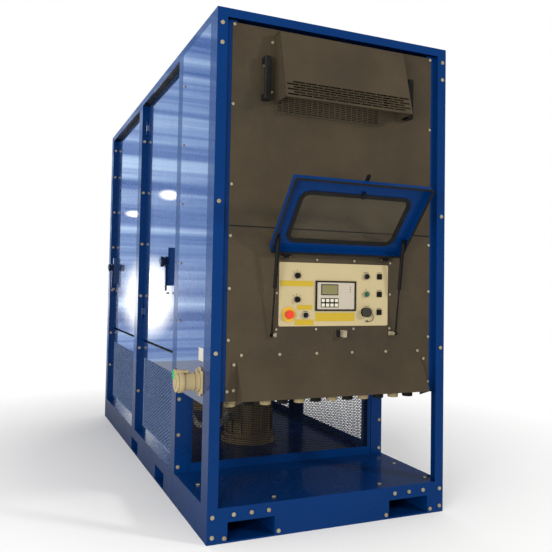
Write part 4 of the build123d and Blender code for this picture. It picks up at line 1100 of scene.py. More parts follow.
@dataclass
class OutletMesh(SubAssembly):
    """Perforated insert of the air outlet, in the panel behind the hood."""

    x: tuple[float, float] = (-0.318, 0.222)
    drop: float = 0.034
    reach: float = 0.20
    pitch: tuple[float, float] = (0.030, 0.0088)
    web: float = 0.0024
    sheet: float = 0.0015
    rim: float = 0.006
    wide_rim: float = 0.030

    def build(self) -> None:
        """Makes the slotted sheet, its frame, and a near-black sheet just behind its slots,
        painted shade for the unlit inside of the outlet.
        """
        low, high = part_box("vent_hood")
        y = high.y - 0.004
        z = (low.z - self.drop, low.z + self.reach)
        Bench.clear()
        bpy.ops.mesh.primitive_grid_add(
            x_subdivisions=round((self.x[1] - self.x[0]) / self.pitch[0]),
            y_subdivisions=round((z[1] - z[0]) / self.pitch[1]), size=1,
            rotation=(math.pi / 2, 0, 0))
        piece = bpy.context.object
        piece.scale = (self.x[1] - self.x[0], z[1] - z[0], 1)
        piece.location = (sum(self.x) / 2, y, sum(z) / 2)
        Bench.settle(piece)
        Bench.edit(piece)
        bpy.ops.mesh.select_all(action="SELECT")
        bpy.ops.mesh.inset(thickness=self.web, use_individual=True)
        bpy.ops.mesh.delete(type="FACE")
        Bench.close()
        Bench.modify(piece, "SOLIDIFY", thickness=self.sheet, offset=0.0)
        front, back = y - 0.001, y + 0.003
        rims = [Bench.slab((self.x[0] - self.rim, front, z[0] - self.rim),
                           (self.x[1] + self.rim, back, z[0]), 0.0005),
                Bench.slab((self.x[0] - self.rim, front, z[0]), (self.x[0], back, z[1]), 0.0005),
                Bench.slab((self.x[1], front, z[0]),
                           (self.x[1] + self.wide_rim, back, z[1]), 0.0005)]
        self.place(Bench.join([piece, *rims], "outlet_mesh"), "grey_paint", "root",
                   "grey_paint")
        # Painted shade: a near-black sheet just behind the slots, standing in for the dark inside
        # of the outlet.
        shade = Bench.slab((self.x[0], y + 0.0022, z[0]), (self.x[1], y + 0.0032, z[1]))
        self.place(Bench.name(shade, "outlet_shade"), "slot_shade", "root", "grey_paint")


@dataclass
class PullHandles(SubAssembly):
    """Moulded bridge handles beside the hood, each held by two screws."""

    half: float = 0.0155
    bar: float = 0.018
    leg: float = 0.030

    def build(self) -> None:
        """Makes a bar and two legs on each side."""
        low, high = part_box("pull_handles")
        parts, screws = [], []
        for side in Side:
            x = side.value * (high.x - 0.010)
            out = low.y - 0.001
            parts.append(Bench.slab((x - self.half, out, low.z),
                                    (x + self.half, out + self.bar, high.z), 0.006))
            for start, end in ((low.z, low.z + self.leg), (high.z - self.leg, high.z)):
                parts.append(Bench.slab((x - self.half, out + 0.008, start),
                                        (x + self.half, high.y - 0.004, end), 0.004))
            for z in (low.z + self.leg + 0.004, high.z - self.leg - 0.004):
                screws.append(Bench.disc((x, high.y - 0.0045, z), 0.0055, -0.004, Axis.Y, 16,
                                         0.001))
        self.place(Bench.join(parts, "bridge_handles"), "black_plastic", "root",
                   "black_plastic", ["pull_handles"])
        self.place(Bench.join(screws, "handle_screws"), "zinc_plate", "root", "zinc_plate")


@dataclass
class Fasteners(SubAssembly):
    """Domed hexagon heads on the frame and smaller screws on the panels."""

    head: float = 0.0096
    screw: float = 0.0074
    plate_screw: float = 0.0060
    head_tall: float = 0.006
    frame_ahead: float = 0.012
    front_zone: float = -0.9
    plate_zone: tuple[float, float] = (0.32, 0.04)

    def build(self) -> None:
        """Puts a head in the place of every CAD one."""
        patterns: dict[tuple, bpy.types.Object] = {}
        heads = []
        for solid in solids_of("bolts"):
            axis = min((Axis.X, Axis.Y, Axis.Z), key=lambda a: solid.size["XYZ".index(a.value)])
            outward = {Axis.X: math.copysign(1.0, solid.middle.x), Axis.Y: -1.0,
                       Axis.Z: 1.0}[axis]
            place = self.root_of(solid, axis, outward)
            key = (axis, outward, self.radius_of(solid, axis))
            if key not in patterns:
                patterns[key] = Bench.disc((0, 0, 0), key[2], outward * self.head_tall, axis,
                                           12, 0.002)
            heads.append(Bench.copy(patterns[key], place))
        for pattern in patterns.values():
            bpy.data.objects.remove(pattern)
        self.place(Bench.join(heads, "fastener_heads"), "zinc_plate", "root", "zinc_plate",
                   ["bolts"])

    def radius_of(self, solid: Solid, axis: Axis) -> float:
        """Radius of one head, by what it holds.

        Args:
            solid: The CAD head.
            axis: The axis that it stands along.

        Returns:
            The radius.
        """
        if axis is Axis.X:
            return self.plate_screw
        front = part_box("upper_front_panel")[0].y - self.frame_ahead
        if axis is Axis.Z or solid.low.y < front or solid.low.y > self.front_zone:
            return self.head
        low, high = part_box("control_plate")
        wide, tall = self.plate_zone
        level = low.z - tall < solid.middle.z < high.z + tall
        return self.plate_screw if level and abs(solid.middle.x) < wide else self.screw

    @staticmethod
    def root_of(solid: Solid, axis: Axis, outward: float) -> Vector:
        """Middle of the face that a head stands on.

        Args:
            solid: The CAD head.
            axis: The axis that it stands along.
            outward: 1.0 or -1.0, the way that it points.

        Returns:
            The place.
        """
        place = solid.middle.copy()
        index = "XYZ".index(axis.value)
        place[index] = solid.low[index] if outward > 0 else solid.high[index]
        return place


@dataclass
class SeamShade(SubAssembly):
    """Dark strip along the lap between the upper and the lower front panel: painted shade for the
    shadow under the lap.
    """

    tall: float = 0.005

    def build(self) -> None:
        """Lays the strip along the foot of the upper panel."""
        upper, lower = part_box("upper_front_panel"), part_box("lower_front_panel")
        face = upper[0].y
        # Painted shade: a near-black strip in the lap, standing in for the shadow under the upper
        # panel's edge.
        strip = Bench.slab((lower[0].x + 0.004, face - 0.0008, upper[0].z - self.tall),
                           (lower[1].x - 0.004, face + 0.0012, upper[0].z + 0.0005))
        self.place(Bench.name(strip, "panel_seam"), "black_rubber", "root", "black_rubber")


@dataclass
class CableConnectors(SubAssembly):
    """Row of panel connectors under the front panel, their caps alternating in colour."""

    grips: int = 12

    def build(self) -> None:
        """Makes a flange, a ribbed collar and a rounded cap at each connector."""
        groups: tuple[list, list] = ([], [])
        for number, solid in enumerate(solids_of("cable_connectors")):
            groups[number % 2].extend(self.connector(solid))
        finishes = ("tan_plastic", "black_plastic")
        for finish, parts in zip(finishes, groups):
            piece = Bench.join(parts, f"connectors_{finish}")
            self.place(piece, finish, "root", "tan_plastic", ["cable_connectors"])

    def connector(self, solid: Solid) -> list[bpy.types.Object]:
        """The parts of one connector, downwards from the panel.

        Args:
            solid: The CAD connector.

        Returns:
            Its flange, neck, cap and grips.
        """
        middle, top = solid.middle, solid.high.z
        radius = solid.size.x / 2
        parts = [Bench.disc((middle.x, middle.y, top), radius, -0.005, Axis.Z, 32, 0.001),
                 Bench.disc((middle.x, middle.y, top - 0.005), radius * 0.76, -0.022, Axis.Z, 32),
                 Bench.disc((middle.x, middle.y, top - 0.022), radius * 0.88, -0.017, Axis.Z,
                            32, 0.003)]
        for grip in range(self.grips):
            turn = 2 * math.pi * grip / self.grips
            x = middle.x + math.cos(turn) * radius * 0.80
            y = middle.y + math.sin(turn) * radius * 0.80
            parts.append(Bench.disc((x, y, top - 0.007), 0.0035, -0.016, Axis.Z, 6))
        return parts


@dataclass
class ElementBanks(SubAssembly):
    """Folded resistor ribbons strung between the racks, on ceramic end pieces."""

    rail_half: float = 0.476
    folds: int = 72
    fold_depth: float = 0.011
    ribbon: float = 0.0012
    end_gap: float = 0.03
    bar_margin: float = 0.066
    first_tier: float = 0.154
    tier_pitch: float = 0.250
    tiers: int = 5
    bars: int = 7
    ribbon_tall: float = 0.052

    def build(self) -> None:
        """Makes the ribbons in front of each flat bar's faces."""
        strips = []
        for rack in solids_of("element_racks"):
            start, end = rack.low.y + self.bar_margin, rack.high.y - self.bar_margin
            for tier in range(self.tiers):
                level = rack.low.z + self.first_tier + tier * self.tier_pitch
                for bar in range(self.bars):
                    strips.append((start + (end - start) * bar / (self.bars - 1), level))
        pattern = self.ribbon_at(strips[0][0], strips[0][1])
        copies = [Bench.copy(pattern, (0, y - strips[0][0], z - strips[0][1]))
                  for y, z in strips[1:]]
        piece = Bench.join([pattern, *copies], "element_ribbons")
        self.place(piece, "spring_steel", "root", "galvanised_steel")

    def ribbon_at(self, y: float, z: float) -> bpy.types.Object:
        """One ribbon, folded to and fro about the bar that it hangs on.

        Args:
            y: Where its bar runs.
            z: Middle of its height.

        Returns:
            The ribbon.
        """
        start = self.end_gap - self.rail_half
        step = -2 * start / self.folds
        Bench.clear()
        bpy.ops.mesh.primitive_grid_add(x_subdivisions=4, y_subdivisions=1, size=1,
                                        rotation=(math.pi / 2, 0, 0),
                                        location=(start + step / 2, y, z))
        piece = bpy.context.object
        piece.scale = (step, self.ribbon_tall, 1)
        Bench.settle(piece)
        for vertex in piece.data.vertices:
            phase = (vertex.co.x - start) / step
            vertex.co.y = y + self.fold_depth * math.sin(2 * math.pi * phase)
        Bench.row(piece, self.folds, (step, 0, 0), use_merge_vertices=True)
        Bench.modify(piece, "SOLIDIFY", thickness=self.ribbon, offset=0.0)
        return piece


@dataclass
class ControlPanel(SubAssembly):
    """Blank notice strips, legends and lamps on the control plate and its display."""

    ink_t: float = 0.0004
    tick_from: float = 0.019
    tick_to: float = 0.026
    tick_half: float = 0.0011
    rule_half: tuple[float, float] = (0.014, 0.013)
    strip_t: float = 0.0008
    display_rim: float = 0.0075
    display_floor: float = 0.004
    glass_left: float = 0.032
    glass_right: float = 0.114
    glass_foot: float = 0.063
    glass_top: float = 0.020
    surround: float = 0.004
    key_surround: float = 0.0035
    lamps: int = 3
    lamp_pitch: float = 0.011
    mouth: float = 0.0048
    cap_size: float = 0.03

    def build(self) -> None:
        """Makes everything that is printed on, stuck to or set into the plate."""
        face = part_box("control_plate")[0].y
        self.notices(face)
        self.legends(face)
        self.display()
        self.switch_trim(face)

    def flat(self, face: float, x: tuple[float, float], z: tuple[float, float],
             thick: float, edge: float = 0.0) -> bpy.types.Object:
        """A thin piece that stands on a face turned forward.

        Args:
            face: Y of the face.
            x: Its limits along X.
            z: Its limits along Z.
            thick: How far it stands out.
            edge: Radius of its edges.

        Returns:
            The piece.
        """
        return Bench.slab((x[0], face - thick, z[0]), (x[1], face + 0.0002, z[1]), edge)

    def notices(self, face: float) -> None:
        """Blank yellow strips beside the selectors, the reset button and the display.

        Args:
            face: Y of the plate's front.
        """
        low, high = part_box("upper_selector")
        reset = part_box("reset_button")
        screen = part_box("display_unit")
        strips = (((low.x - 0.069, high.x + 0.069), (low.z - 0.035, low.z - 0.010)),
                  ((reset[0].x - 0.030, reset[1].x + 0.024), (reset[1].z + 0.013,
                                                             reset[1].z + 0.035)),
                  ((reset[0].x - 0.040, reset[1].x + 0.034), (reset[0].z - 0.036,
                                                             reset[0].z - 0.009)),
                  ((screen[0].x + 0.002, screen[1].x - 0.004), (screen[0].z - 0.048,
                                                               screen[0].z - 0.008)))
        piece = Bench.join([self.flat(face, x, z, self.strip_t, 0.0003) for x, z in strips],
                           "notice_strips")
        self.place(piece, "notice_yellow", "root", "cream_paint")

    def legends(self, face: float) -> None:
        """Tick marks round the turning switches, and a short rule beside each other one.

        Args:
            face: Y of the plate's front.
        """
        parts = []
        for node, angles in (("upper_selector", (-45, 0, 45)), ("lower_selector", (-45, 0, 45)),
                             ("power_selector", (0, 90))):
            low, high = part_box(node)
            centre = (low + high) / 2
            for angle in angles:
                parts.append(self.tick(face, centre, angle))
        for node in ("reset_button", "lamp_button"):
            low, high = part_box(node)
            middle = (low.x + high.x) / 2
            half = self.rule_half[0]
            parts.append(self.flat(face, (middle - half, middle + half),
                                   (high.z + 0.0055, high.z + 0.0075), self.ink_t))
        half = self.rule_half[1]
        for jack in solids_of("panel_sockets"):
            parts.append(self.flat(face, (jack.middle.x - half, jack.middle.x + half),
                                   (jack.high.z + 0.004, jack.high.z + 0.006), self.ink_t))
        piece = Bench.join(parts, "switch_legends")
        self.place(piece, "legend_ink", "root", "black_plastic")

    def tick(self, face: float, centre: Vector, angle: float) -> bpy.types.Object:
        """A radial mark, turned from straight up round the middle of its switch.

        Args:
            face: Y of the plate's front.
            centre: Middle of the switch.
            angle: Degrees from straight up.

        Returns:
            The mark.
        """
        piece = self.flat(face, (centre.x - self.tick_half, centre.x + self.tick_half),
                          (centre.z + self.tick_from, centre.z + self.tick_to), self.ink_t)
        Bench.take(piece)
        bpy.ops.transform.rotate(value=math.radians(angle), orient_axis="Y",
                                 center_override=(centre.x, face, centre.z))
        return Bench.settle(piece)

    def display(self) -> None:
        """Pale face, glass and lamps of the controller, and a dark surround for each key."""
        low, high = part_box("display_unit")
        floor = low.y + self.display_floor
        rim = self.display_rim
        plate = self.flat(floor, (low.x + rim, high.x - rim), (low.z + rim, high.z - rim),
                          self.strip_t)
        self.place(Bench.name(plate, "display_plate"), "display_face", "root", "display_face")
        keys = solids_of("keypad")
        x = (low.x + self.glass_left, low.x + self.glass_right)
        z = (high.z - self.glass_foot, high.z - self.glass_top)
        edge = self.surround
        bezel = Bench.slab((x[0] - edge, floor - 0.0024, z[0] - edge),
                           (x[1] + edge, floor - 0.0006, z[1] + edge), 0.0008)
        edge = self.key_surround
        block = self.flat(floor, (min(key.low.x for key in keys) - edge,
                                  max(key.high.x for key in keys) + edge),
                          (min(key.low.z for key in keys) - edge,
                           max(key.high.z for key in keys) + edge), 0.0014, 0.0005)
        self.place(Bench.join([bezel, block], "key_surrounds"), "black_plastic", "root",
                   "black_plastic")
        glass = Bench.slab((x[0], floor - 0.0030, z[0]), (x[1], floor - 0.0022, z[1]))
        self.place(Bench.name(glass, "display_glass"), "lcd_glass", "root", "display_face")
        top = high.z - 0.028
        lamps = [Bench.disc((high.x - 0.030, floor - 0.0005, top - self.lamp_pitch * number),
                            0.0020, -0.0018, Axis.Y, 16) for number in range(self.lamps)]
        self.place(Bench.join(lamps, "display_lamps"), "grey_plastic", "root",
                   "black_plastic")

    def switch_trim(self, face: float) -> None:
        """Yellow collar under the stop button and bright nuts round the other stems.

        Args:
            face: Y of the plate's front.
        """
        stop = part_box("stop_button")
        middle = (stop[0] + stop[1]) / 2
        collar = self.ring((middle.x, face - 0.0031, middle.z), 0.0345, 0.0185, 0.0008)
        self.place(Bench.name(collar, "stop_collar"), "collar_yellow", "root", "bezel_metal")
        rings = []
        for node, radius in (("reset_button", 0.0155), ("lamp_button", 0.0150),
                             ("power_selector", 0.0150)):
            low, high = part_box(node)
            centre = (low + high) / 2
            rings.append(self.ring((centre.x, face - 0.0030, centre.z), radius, 0.0124, 0.0060))
        self.place(Bench.join(rings, "button_rings"), "bezel_metal", "root", "bezel_metal")
        # Painted shade: a near-black disc in the mouth of each small jack, standing in for its
        # dark hollow.
        holes = []
        for solid in solids_of("panel_sockets"):
            if solid.size.z > self.cap_size and solid.size.x > self.cap_size:
                continue
            holes.append(Bench.disc((solid.middle.x, solid.low.y + 0.0012, solid.middle.z),
                                    self.mouth, -0.0016, Axis.Y, 20))
        self.place(Bench.join(holes, "jack_mouths"), "slot_shade", "root", "black_plastic")

    def ring(self, centre: Triple, outer: float, inner: float,
             tall: float) -> bpy.types.Object:
        """Flat ring that stands forward of a centre.

        Args:
            centre: Middle of its back.
            outer: Outer radius.
            inner: Inner radius.
            tall: How far it stands out.

        Returns:
            The ring.
        """
        piece = Bench.disc(centre, outer, -tall, Axis.Y, 48)
        Bench.edit(piece)
        Bench.pick(piece, lambda _, normal: abs(normal.y) > 0.9)
        bpy.ops.mesh.inset(thickness=outer - inner)
        bpy.ops.mesh.bridge_edge_loops()
        Bench.close()
        return piece


@dataclass
class CoverTrim(SubAssembly):
    """Screws in the hinge leaves of the cover, and a dark pad on its keeper that is painted shade
    for the hollow under the keeper's lip.
    """

    pad: float = 0.008
    screw: float = 0.0042
    screw_drop: float = 0.008
    leaf_back: float = 0.0035

    def build(self) -> None:
        """Makes two screw heads on every hinge leaf, and the dark pad of painted shade."""
        heads = []
        for leaf in solids_of("cover_hinges"):
            spread = leaf.size.x / 4
            for shift in (-spread, spread):
                place = (leaf.middle.x + shift, leaf.high.y - self.leaf_back,
                         leaf.high.z - self.screw_drop)
                heads.append(Bench.disc(place, self.screw, -0.0022, Axis.Y, 16, 0.0008))
        self.place(Bench.join(heads, "cover_hinge_screws"), "grey_paint", "root", "zinc_plate")
        keeper = solids_of("cover_brackets")[1]
        # Painted shade: a near-black pad on the left half of the keeper, standing in for the
        # shadow in the hollow under its lip.
        pad = Bench.slab((keeper.low.x, keeper.high.y - self.pad, keeper.low.z),
                         (keeper.middle.x, keeper.high.y, keeper.high.z), 0.001)
        self.place(Bench.name(pad, "keeper_pad"), "black_rubber", "root", "black_rubber")


@dataclass
class Receptacle(SubAssembly):
    """Power receptacle: flanged body with a collar, sprung flap and blank plate above."""

    lift: float = 0.012
    tube: float = 0.039
    collar: float = 0.0475
    reach: float = 0.104
    flange_t: float = 0.010
    flange_half: float = 0.050
    lug_half: tuple[float, float] = (0.020, 0.064)
    socket_tall: float = 0.114
    pin_inset: float = 0.006
    turns: int = 7

    def build(self) -> None:
        """Makes the body, the flap and the small parts round them."""
        low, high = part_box("receptacle_body")
        root = high.x
        middle = Vector((root, (low.y + high.y) / 2,
                         low.z + self.socket_tall / 2 + self.lift))
        pin = Vector((low.x + self.pin_inset, middle.y, high.z - self.pin_inset))
        self.body(root, middle, pin)
        self.flap(root, middle, pin)
        spring = self.spring((pin.x, middle.y, pin.z))
        self.place(spring, "spring_steel", "root", "tan_plastic")
        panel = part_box("outer_panels")[0].x
        plate = Bench.slab((panel - 0.0008, middle.y - 0.035, high.z + 0.038),
                           (panel + 0.0002, middle.y + 0.035, high.z + 0.096), 0.0003)
        self.place(Bench.name(plate, "receptacle_plate"), "notice_white", "root",
                   "cream_paint")

    def body(self, root: float, middle: Vector, pin: Vector) -> None:
        """Flange with its screws, tube, collar and the arm that carries the flap.

        Args:
            root: X of the side that it is fixed to.
            middle: Middle of its mouth, at that side.
            pin: Middle of the flap's pin.
        """
        y, z = middle.y, middle.z
        face, half = root - self.flange_t, self.flange_half
        wide, tall = self.lug_half
        parts = [Bench.slab((face, y - half, z - half), (root, y + half, z + half), 0.004),
                 Bench.slab((face, y - wide, z - tall), (root, y + wide, z + tall), 0.004),
                 Bench.disc((face, y, z), self.collar - 0.002, -0.010, Axis.X, 40, 0.002),
                 Bench.disc((root - 0.020, y, z), self.tube, 0.030 - self.reach, Axis.X, 40),
                 Bench.disc((root - self.reach + 0.024, y, z), self.collar, -0.024, Axis.X, 40,
                            0.003),
                 Bench.disc((root - 0.034, y, z), self.tube + 0.003, -0.006, Axis.X, 40, 0.001),
                 Bench.slab((pin.x, y - 0.017, z + self.tube), (pin.x + 0.044, y + 0.017,
                                                                pin.z + 0.006), 0.004)]
        self.place(Bench.join(parts, "receptacle_shell"), "tan_plastic", "root", "tan_plastic",
                   ["receptacle_body"])
        # Painted shade: a near-black disc on the end of the tube, standing in for the dark bore
        # behind the flap.
        mouth = Bench.disc((root - self.reach, y, z), self.tube - 0.002, -0.0004, Axis.X, 40)
        self.place(Bench.name(mouth, "receptacle_mouth"), "slot_shade", "root",
                   "black_plastic")
        screws = [Bench.disc((face, y, z + side * 0.057), 0.0055, -0.004, Axis.X, 16, 0.001)
                  for side in (-1, 1)]
        self.place(Bench.join(screws, "receptacle_screws"), "zinc_plate", "root", "zinc_plate")

    def flap(self, root: float, middle: Vector, pin: Vector) -> None:
        """Round flap with a boss, the arm up to its pin, and a green index strip.

        Args:
            root: X of the side that it is fixed to.
            middle: Middle of its mouth, at that side.
            pin: Middle of the flap's pin.
        """
        y, z = middle.y, middle.z
        face = root - self.reach - 0.0008
        parts = [Bench.disc((face, y, z), self.collar - 0.003, -0.010, Axis.X, 40, 0.003),
                 Bench.disc((face - 0.010, y, z), 0.024, -0.005, Axis.X, 32, 0.002),
                 Bench.slab((face - 0.016, y - 0.015, z + 0.012), (face - 0.006, y + 0.015,
                                                                   pin.z + 0.010), 0.003),
                 Bench.disc((pin.x - 0.002, y - 0.015, pin.z), 0.009, 0.030, Axis.Y, 24, 0.001)]
        self.place(Bench.join(parts, "receptacle_lid"), "tan_plastic", "inlet_flap",
                   "tan_plastic", ["receptacle_flap"])
        strip = Bench.slab((face - 0.020, y - 0.010, z + 0.014), (face - 0.0155, y + 0.010,
                                                                 pin.z + 0.006), 0.001)
        self.place(Bench.name(strip, "flap_index"), "accent_green", "inlet_flap",
                   "tan_plastic")

    def spring(self, centre: Triple) -> bpy.types.Object:
        """Coil about the flap's pin.

        Args:
            centre: Middle of the pin.

        Returns:
            The coil.
        """
        Bench.clear()
        bpy.ops.mesh.primitive_torus_add(major_radius=0.0075, minor_radius=0.0009,
                                         major_segments=24, minor_segments=8,
                                         rotation=(math.pi / 2, 0.12, 0),
                                         location=(centre[0], centre[1] + 0.019, centre[2]))
        piece = Bench.settle(bpy.context.object)
        Bench.modify(piece, "ARRAY", count=self.turns, use_relative_offset=False,
                     use_constant_offset=True, constant_offset_displace=(0, 0.0032, 0))
        return Bench.name(piece, "flap_spring")


@dataclass
class DoorFurniture(SubAssembly):
    """Hub caps, key barrels and padlock staples of the four doors' handles."""

    hub_drop: float = 0.030
    cap: float = 0.029
    cap_tall: float = 0.021
    barrel_radius: float = 0.010
    eye_half: float = 0.006
    eye_drop: tuple[float, float] = (0.018, 0.006)

    def build(self) -> None:
        """Makes the furniture of each door on the body that carries it."""
        for name in BAYS:
            side = Side[name.split("_")[0].upper()]
            low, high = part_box(f"{name}_handle")
            self.barrel(name, side, low, high)
            self.staple(name, side, low, high)

    def barrel(self, name: str, side: Side, low: Vector, high: Vector) -> None:
        """Round cap on a handle's hub, with a key barrel in its middle.

        Args:
            name: Side and bay of the door.
            side: The side that the door is on.
            low: Lowest corner of its handle.
            high: Highest corner of its handle.
        """
        outer = high.x if side is Side.RIGHT else low.x
        middle = ((low.y + high.y) / 2, high.z - self.hub_drop)
        cap = Bench.disc((outer - side.value * 0.006, *middle), self.cap,
                         side.value * self.cap_tall, Axis.X, 40, 0.006)
        self.place(Bench.name(cap, f"{name}_cap"), "lock_paint", f"{name}_lever",
                   "black_plastic")
        piece = Bench.disc((outer + side.value * 0.0145, *middle), self.barrel_radius,
                           side.value * 0.0015, Axis.X, 24, 0.0005)
        self.place(Bench.name(piece, f"{name}_barrel"), "bezel_metal", f"{name}_lever",
                   "zinc_plate")

    def staple(self, name: str, side: Side, low: Vector, high: Vector) -> None:
        """Small eye on the door's housing, for a padlock through the lever's hole.

        Args:
            name: Side and bay of the door.
            side: The side that the door is on.
            low: Lowest corner of its handle.
            high: Highest corner of its handle.
        """
        inner = low.x if side is Side.RIGHT else high.x
        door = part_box(f"{name}_door")
        face = door[0].x if side is Side.LEFT else door[1].x
        middle = (low.y + high.y) / 2
        foot, top = self.eye_drop
        eye = Bench.slab((min(inner, face), middle - self.eye_half, low.z - foot),
                         (max(inner, face), middle + self.eye_half, low.z - top), 0.001)
        self.place(Bench.name(eye, f"{name}_staple"), "zinc_plate", f"{name}_leaf",
                   "zinc_plate")


@dataclass
class Studio:
    """Camera, floor, backdrop and soft lights."""

    eye: Triple = (-1.446, -4.078, 1.105)
    turn: float = 0.4042
    tilt: float = 0.0406
    roll: float = 0.0178
    lens: float = 41.99
    rise: float = -0.0306
    floor_half: float = 60.0
    fade_from: float = 1.2
    fade_to: float = 2.9
    card_y: float = 5.0

    def build(self) -> None:
        """Sets the scene up for one still."""
        self.camera()
        self.floor()
        self.lights()
        self.card()
        self.world()
        bpy.context.scene.view_settings.view_transform = "Standard"

    def camera(self) -> None:
        """Places the camera by its heading, tilt and roll."""
        level = math.cos(self.tilt)
        ahead = Vector((math.sin(self.turn) * level, math.cos(self.turn) * level,
                        math.sin(self.tilt)))
        right = Vector((math.cos(self.turn), -math.sin(self.turn), 0))
        above = right.cross(ahead)
        side = right * math.cos(self.roll) + above * math.sin(self.roll)
        top = above * math.cos(self.roll) - right * math.sin(self.roll)
        data = bpy.data.cameras.new("camera")
        data.lens = self.lens
        data.sensor_width = 36.0
        data.shift_y = self.rise
        data.dof.use_dof = False
        camera = bpy.data.objects.new("camera", data)
        turned = Matrix((side, top, -ahead)).transposed().to_4x4()
        camera.matrix_world = Matrix.Translation(self.eye) @ turned
        bpy.context.collection.objects.link(camera)
        bpy.context.scene.camera = camera

    def floor(self) -> None:
        """Pale floor that fades into the white of the backdrop."""
        Bench.clear()
        bpy.ops.mesh.primitive_plane_add(size=2 * self.floor_half, location=(0, 0, 0))
        floor = bpy.context.object
        floor.name = "floor"
        tree = Tree("floor")
        length = tree.nodes.new("ShaderNodeVectorMath")
        length.operation = "LENGTH"
        tree.join(tree.coords.outputs["Object"], length.inputs[0])
        fade = tree.spread(length.outputs["Value"], 0.0, 1.0, self.fade_from, self.fade_to)
        white = tree.nodes.new("ShaderNodeEmission")
        white.inputs["Color"].default_value = (1, 1, 1, 1)
        mix = tree.nodes.new("ShaderNodeMixShader")
        tree.put(Roughness=0.8, Specular_IOR_Level=0.1)
        tree.shader.inputs["Base Color"].default_value = linear((0.96, 0.955, 0.95))
        tree.join(fade, mix.inputs["Fac"])
        tree.join(tree.shader.outputs["BSDF"], mix.inputs[1])
        tree.join(white.outputs["Emission"], mix.inputs[2])
        # For reflections the floor shows a flat pale-blue glow in place of its shading, dim and
        # brighter towards the left in front of the card: painted light, seen only in the gloss.
        rays = tree.nodes.new("ShaderNodeLightPath")
        parts = tree.nodes.new("ShaderNodeSeparateXYZ")
        tree.join(tree.coords.outputs["Object"], parts.inputs[0])
        dim = tree.nodes.new("ShaderNodeEmission")
        dim.inputs["Color"].default_value = (0.92, 0.96, 1.0, 1)
        near = tree.spread(parts.outputs["Y"], 1.0, 0.0, self.card_y, self.card_y + 0.6)
        beside = tree.nodes.new("ShaderNodeMath")
        beside.operation = "MULTIPLY"
        tree.join(tree.spread(parts.outputs["X"], 1.0, 0.0, -1.1, -0.6), beside.inputs[0])
        tree.join(near, beside.inputs[1])
        tree.join(tree.spread(beside.outputs["Value"], 0.14, 0.5, 0.0, 1.0),
                  dim.inputs["Strength"])
        shown = tree.nodes.new("ShaderNodeMixShader")
        tree.join(rays.outputs["Is Glossy Ray"], shown.inputs["Fac"])
        tree.join(mix.outputs["Shader"], shown.inputs[1])
        tree.join(dim.outputs["Emission"], shown.inputs[2])
        tree.join(shown.outputs["Shader"], tree.nodes["Material Output"].inputs["Surface"])
        floor.data.materials.append(tree.material)

    def lights(self) -> None:
        """A key in front on the right, a broad fill on the left, and soft light all round."""
        for name, place, aim, size, power in (
                ("key", (4.7, -6.1, 3.5), (0, -1.2, 1.2), (0.8, 0.8), 230.0),
                ("fill", (-4.0, -4.6, 2.6), (0, -1.0, 1.0), (3.0, 3.0), 60.0),
                ("top", (0.0, 0.2, 5.6), (0, 0, 2.0), (4.0, 5.0), 90.0),
                ("side", (-6.2, -1.6, 2.6), (-0.6, 0.4, 1.2), (3.5, 2.4), 60.0),
                ("low", (-2.9, -4.2, 1.1), (-0.2, -1.0, 0.3), (1.2, 0.8), 75.0)):
            data = bpy.data.lights.new(name, "AREA")
            data.shape = "RECTANGLE"
            data.size, data.size_y = size
            data.energy = power
            lamp = bpy.data.objects.new(name, data)
            lamp.location = place
            lamp.visible_glossy = name in ("fill", "side")
            lamp.rotation_mode = "QUATERNION"
            lamp.rotation_quaternion = (Vector(aim) - Vector(place)).to_track_quat("-Z", "Y")
            bpy.context.collection.objects.link(lamp)

    def card(self) -> None:
        """Banded card and softboxes, far off to the left, that only the gloss shows."""
        tree = Tree("card")
        bands = tree.spread(tree.noise(1.0, 5.0, 0.65, (0.2, 19.0, 0.2)), 0.0, 1.0, 0.36, 0.62)
        glow = tree.nodes.new("ShaderNodeEmission")
        tree.join(tree.blend(bands, (0.33, 0.50, 0.86), (0.78, 0.88, 1.0)),
                  glow.inputs["Color"])
        tree.join(tree.spread(bands, 0.6, 1.7, 0.0, 1.0), glow.inputs["Strength"])
        tree.join(glow.outputs["Emission"], tree.nodes["Material Output"].inputs["Surface"])
        self.backcloth("card", (-5.7, -1.1), (-0.05, 5.85), self.card_y, tree.material)
        for name, x, z in (("window", (-2.15, -1.15), (0.15, 1.65)),
                           ("skylight", (-2.10, -1.68), (2.26, 2.47)),
                           ("lamp", (-1.60, -1.22), (2.0, 2.13))):
            self.backcloth(name, x, z, self.card_y - 0.05, self.softbox(name))

    @staticmethod
    def softbox(name: str, power: float = 4.5) -> bpy.types.Material:
        """Light that fades out towards the rim of its sheet.

        Args:
            name: Name of the material.
            power: Its brightness in the middle.

        Returns:
            The material.
        """
        tree = Tree(name)
        round_off = tree.nodes.new("ShaderNodeTexGradient")
        round_off.gradient_type = "QUADRATIC_SPHERE"
        tree.join(tree.mapped((2.0, 2.0, 2.0)), round_off.inputs["Vector"])
        lamp = tree.nodes.new("ShaderNodeEmission")
        lamp.inputs["Color"].default_value = (1.0, 1.0, 0.98, 1)
        lamp.inputs["Strength"].default_value = power
        clear = tree.nodes.new("ShaderNodeBsdfTransparent")
        mix = tree.nodes.new("ShaderNodeMixShader")
        tree.join(tree.spread(round_off.outputs["Fac"], 0.0, 1.0, 0.02, 0.35),
                  mix.inputs["Fac"])
        tree.join(clear.outputs[0], mix.inputs[1])
        tree.join(lamp.outputs["Emission"], mix.inputs[2])
        tree.join(mix.outputs["Shader"], tree.nodes["Material Output"].inputs["Surface"])
        return tree.material

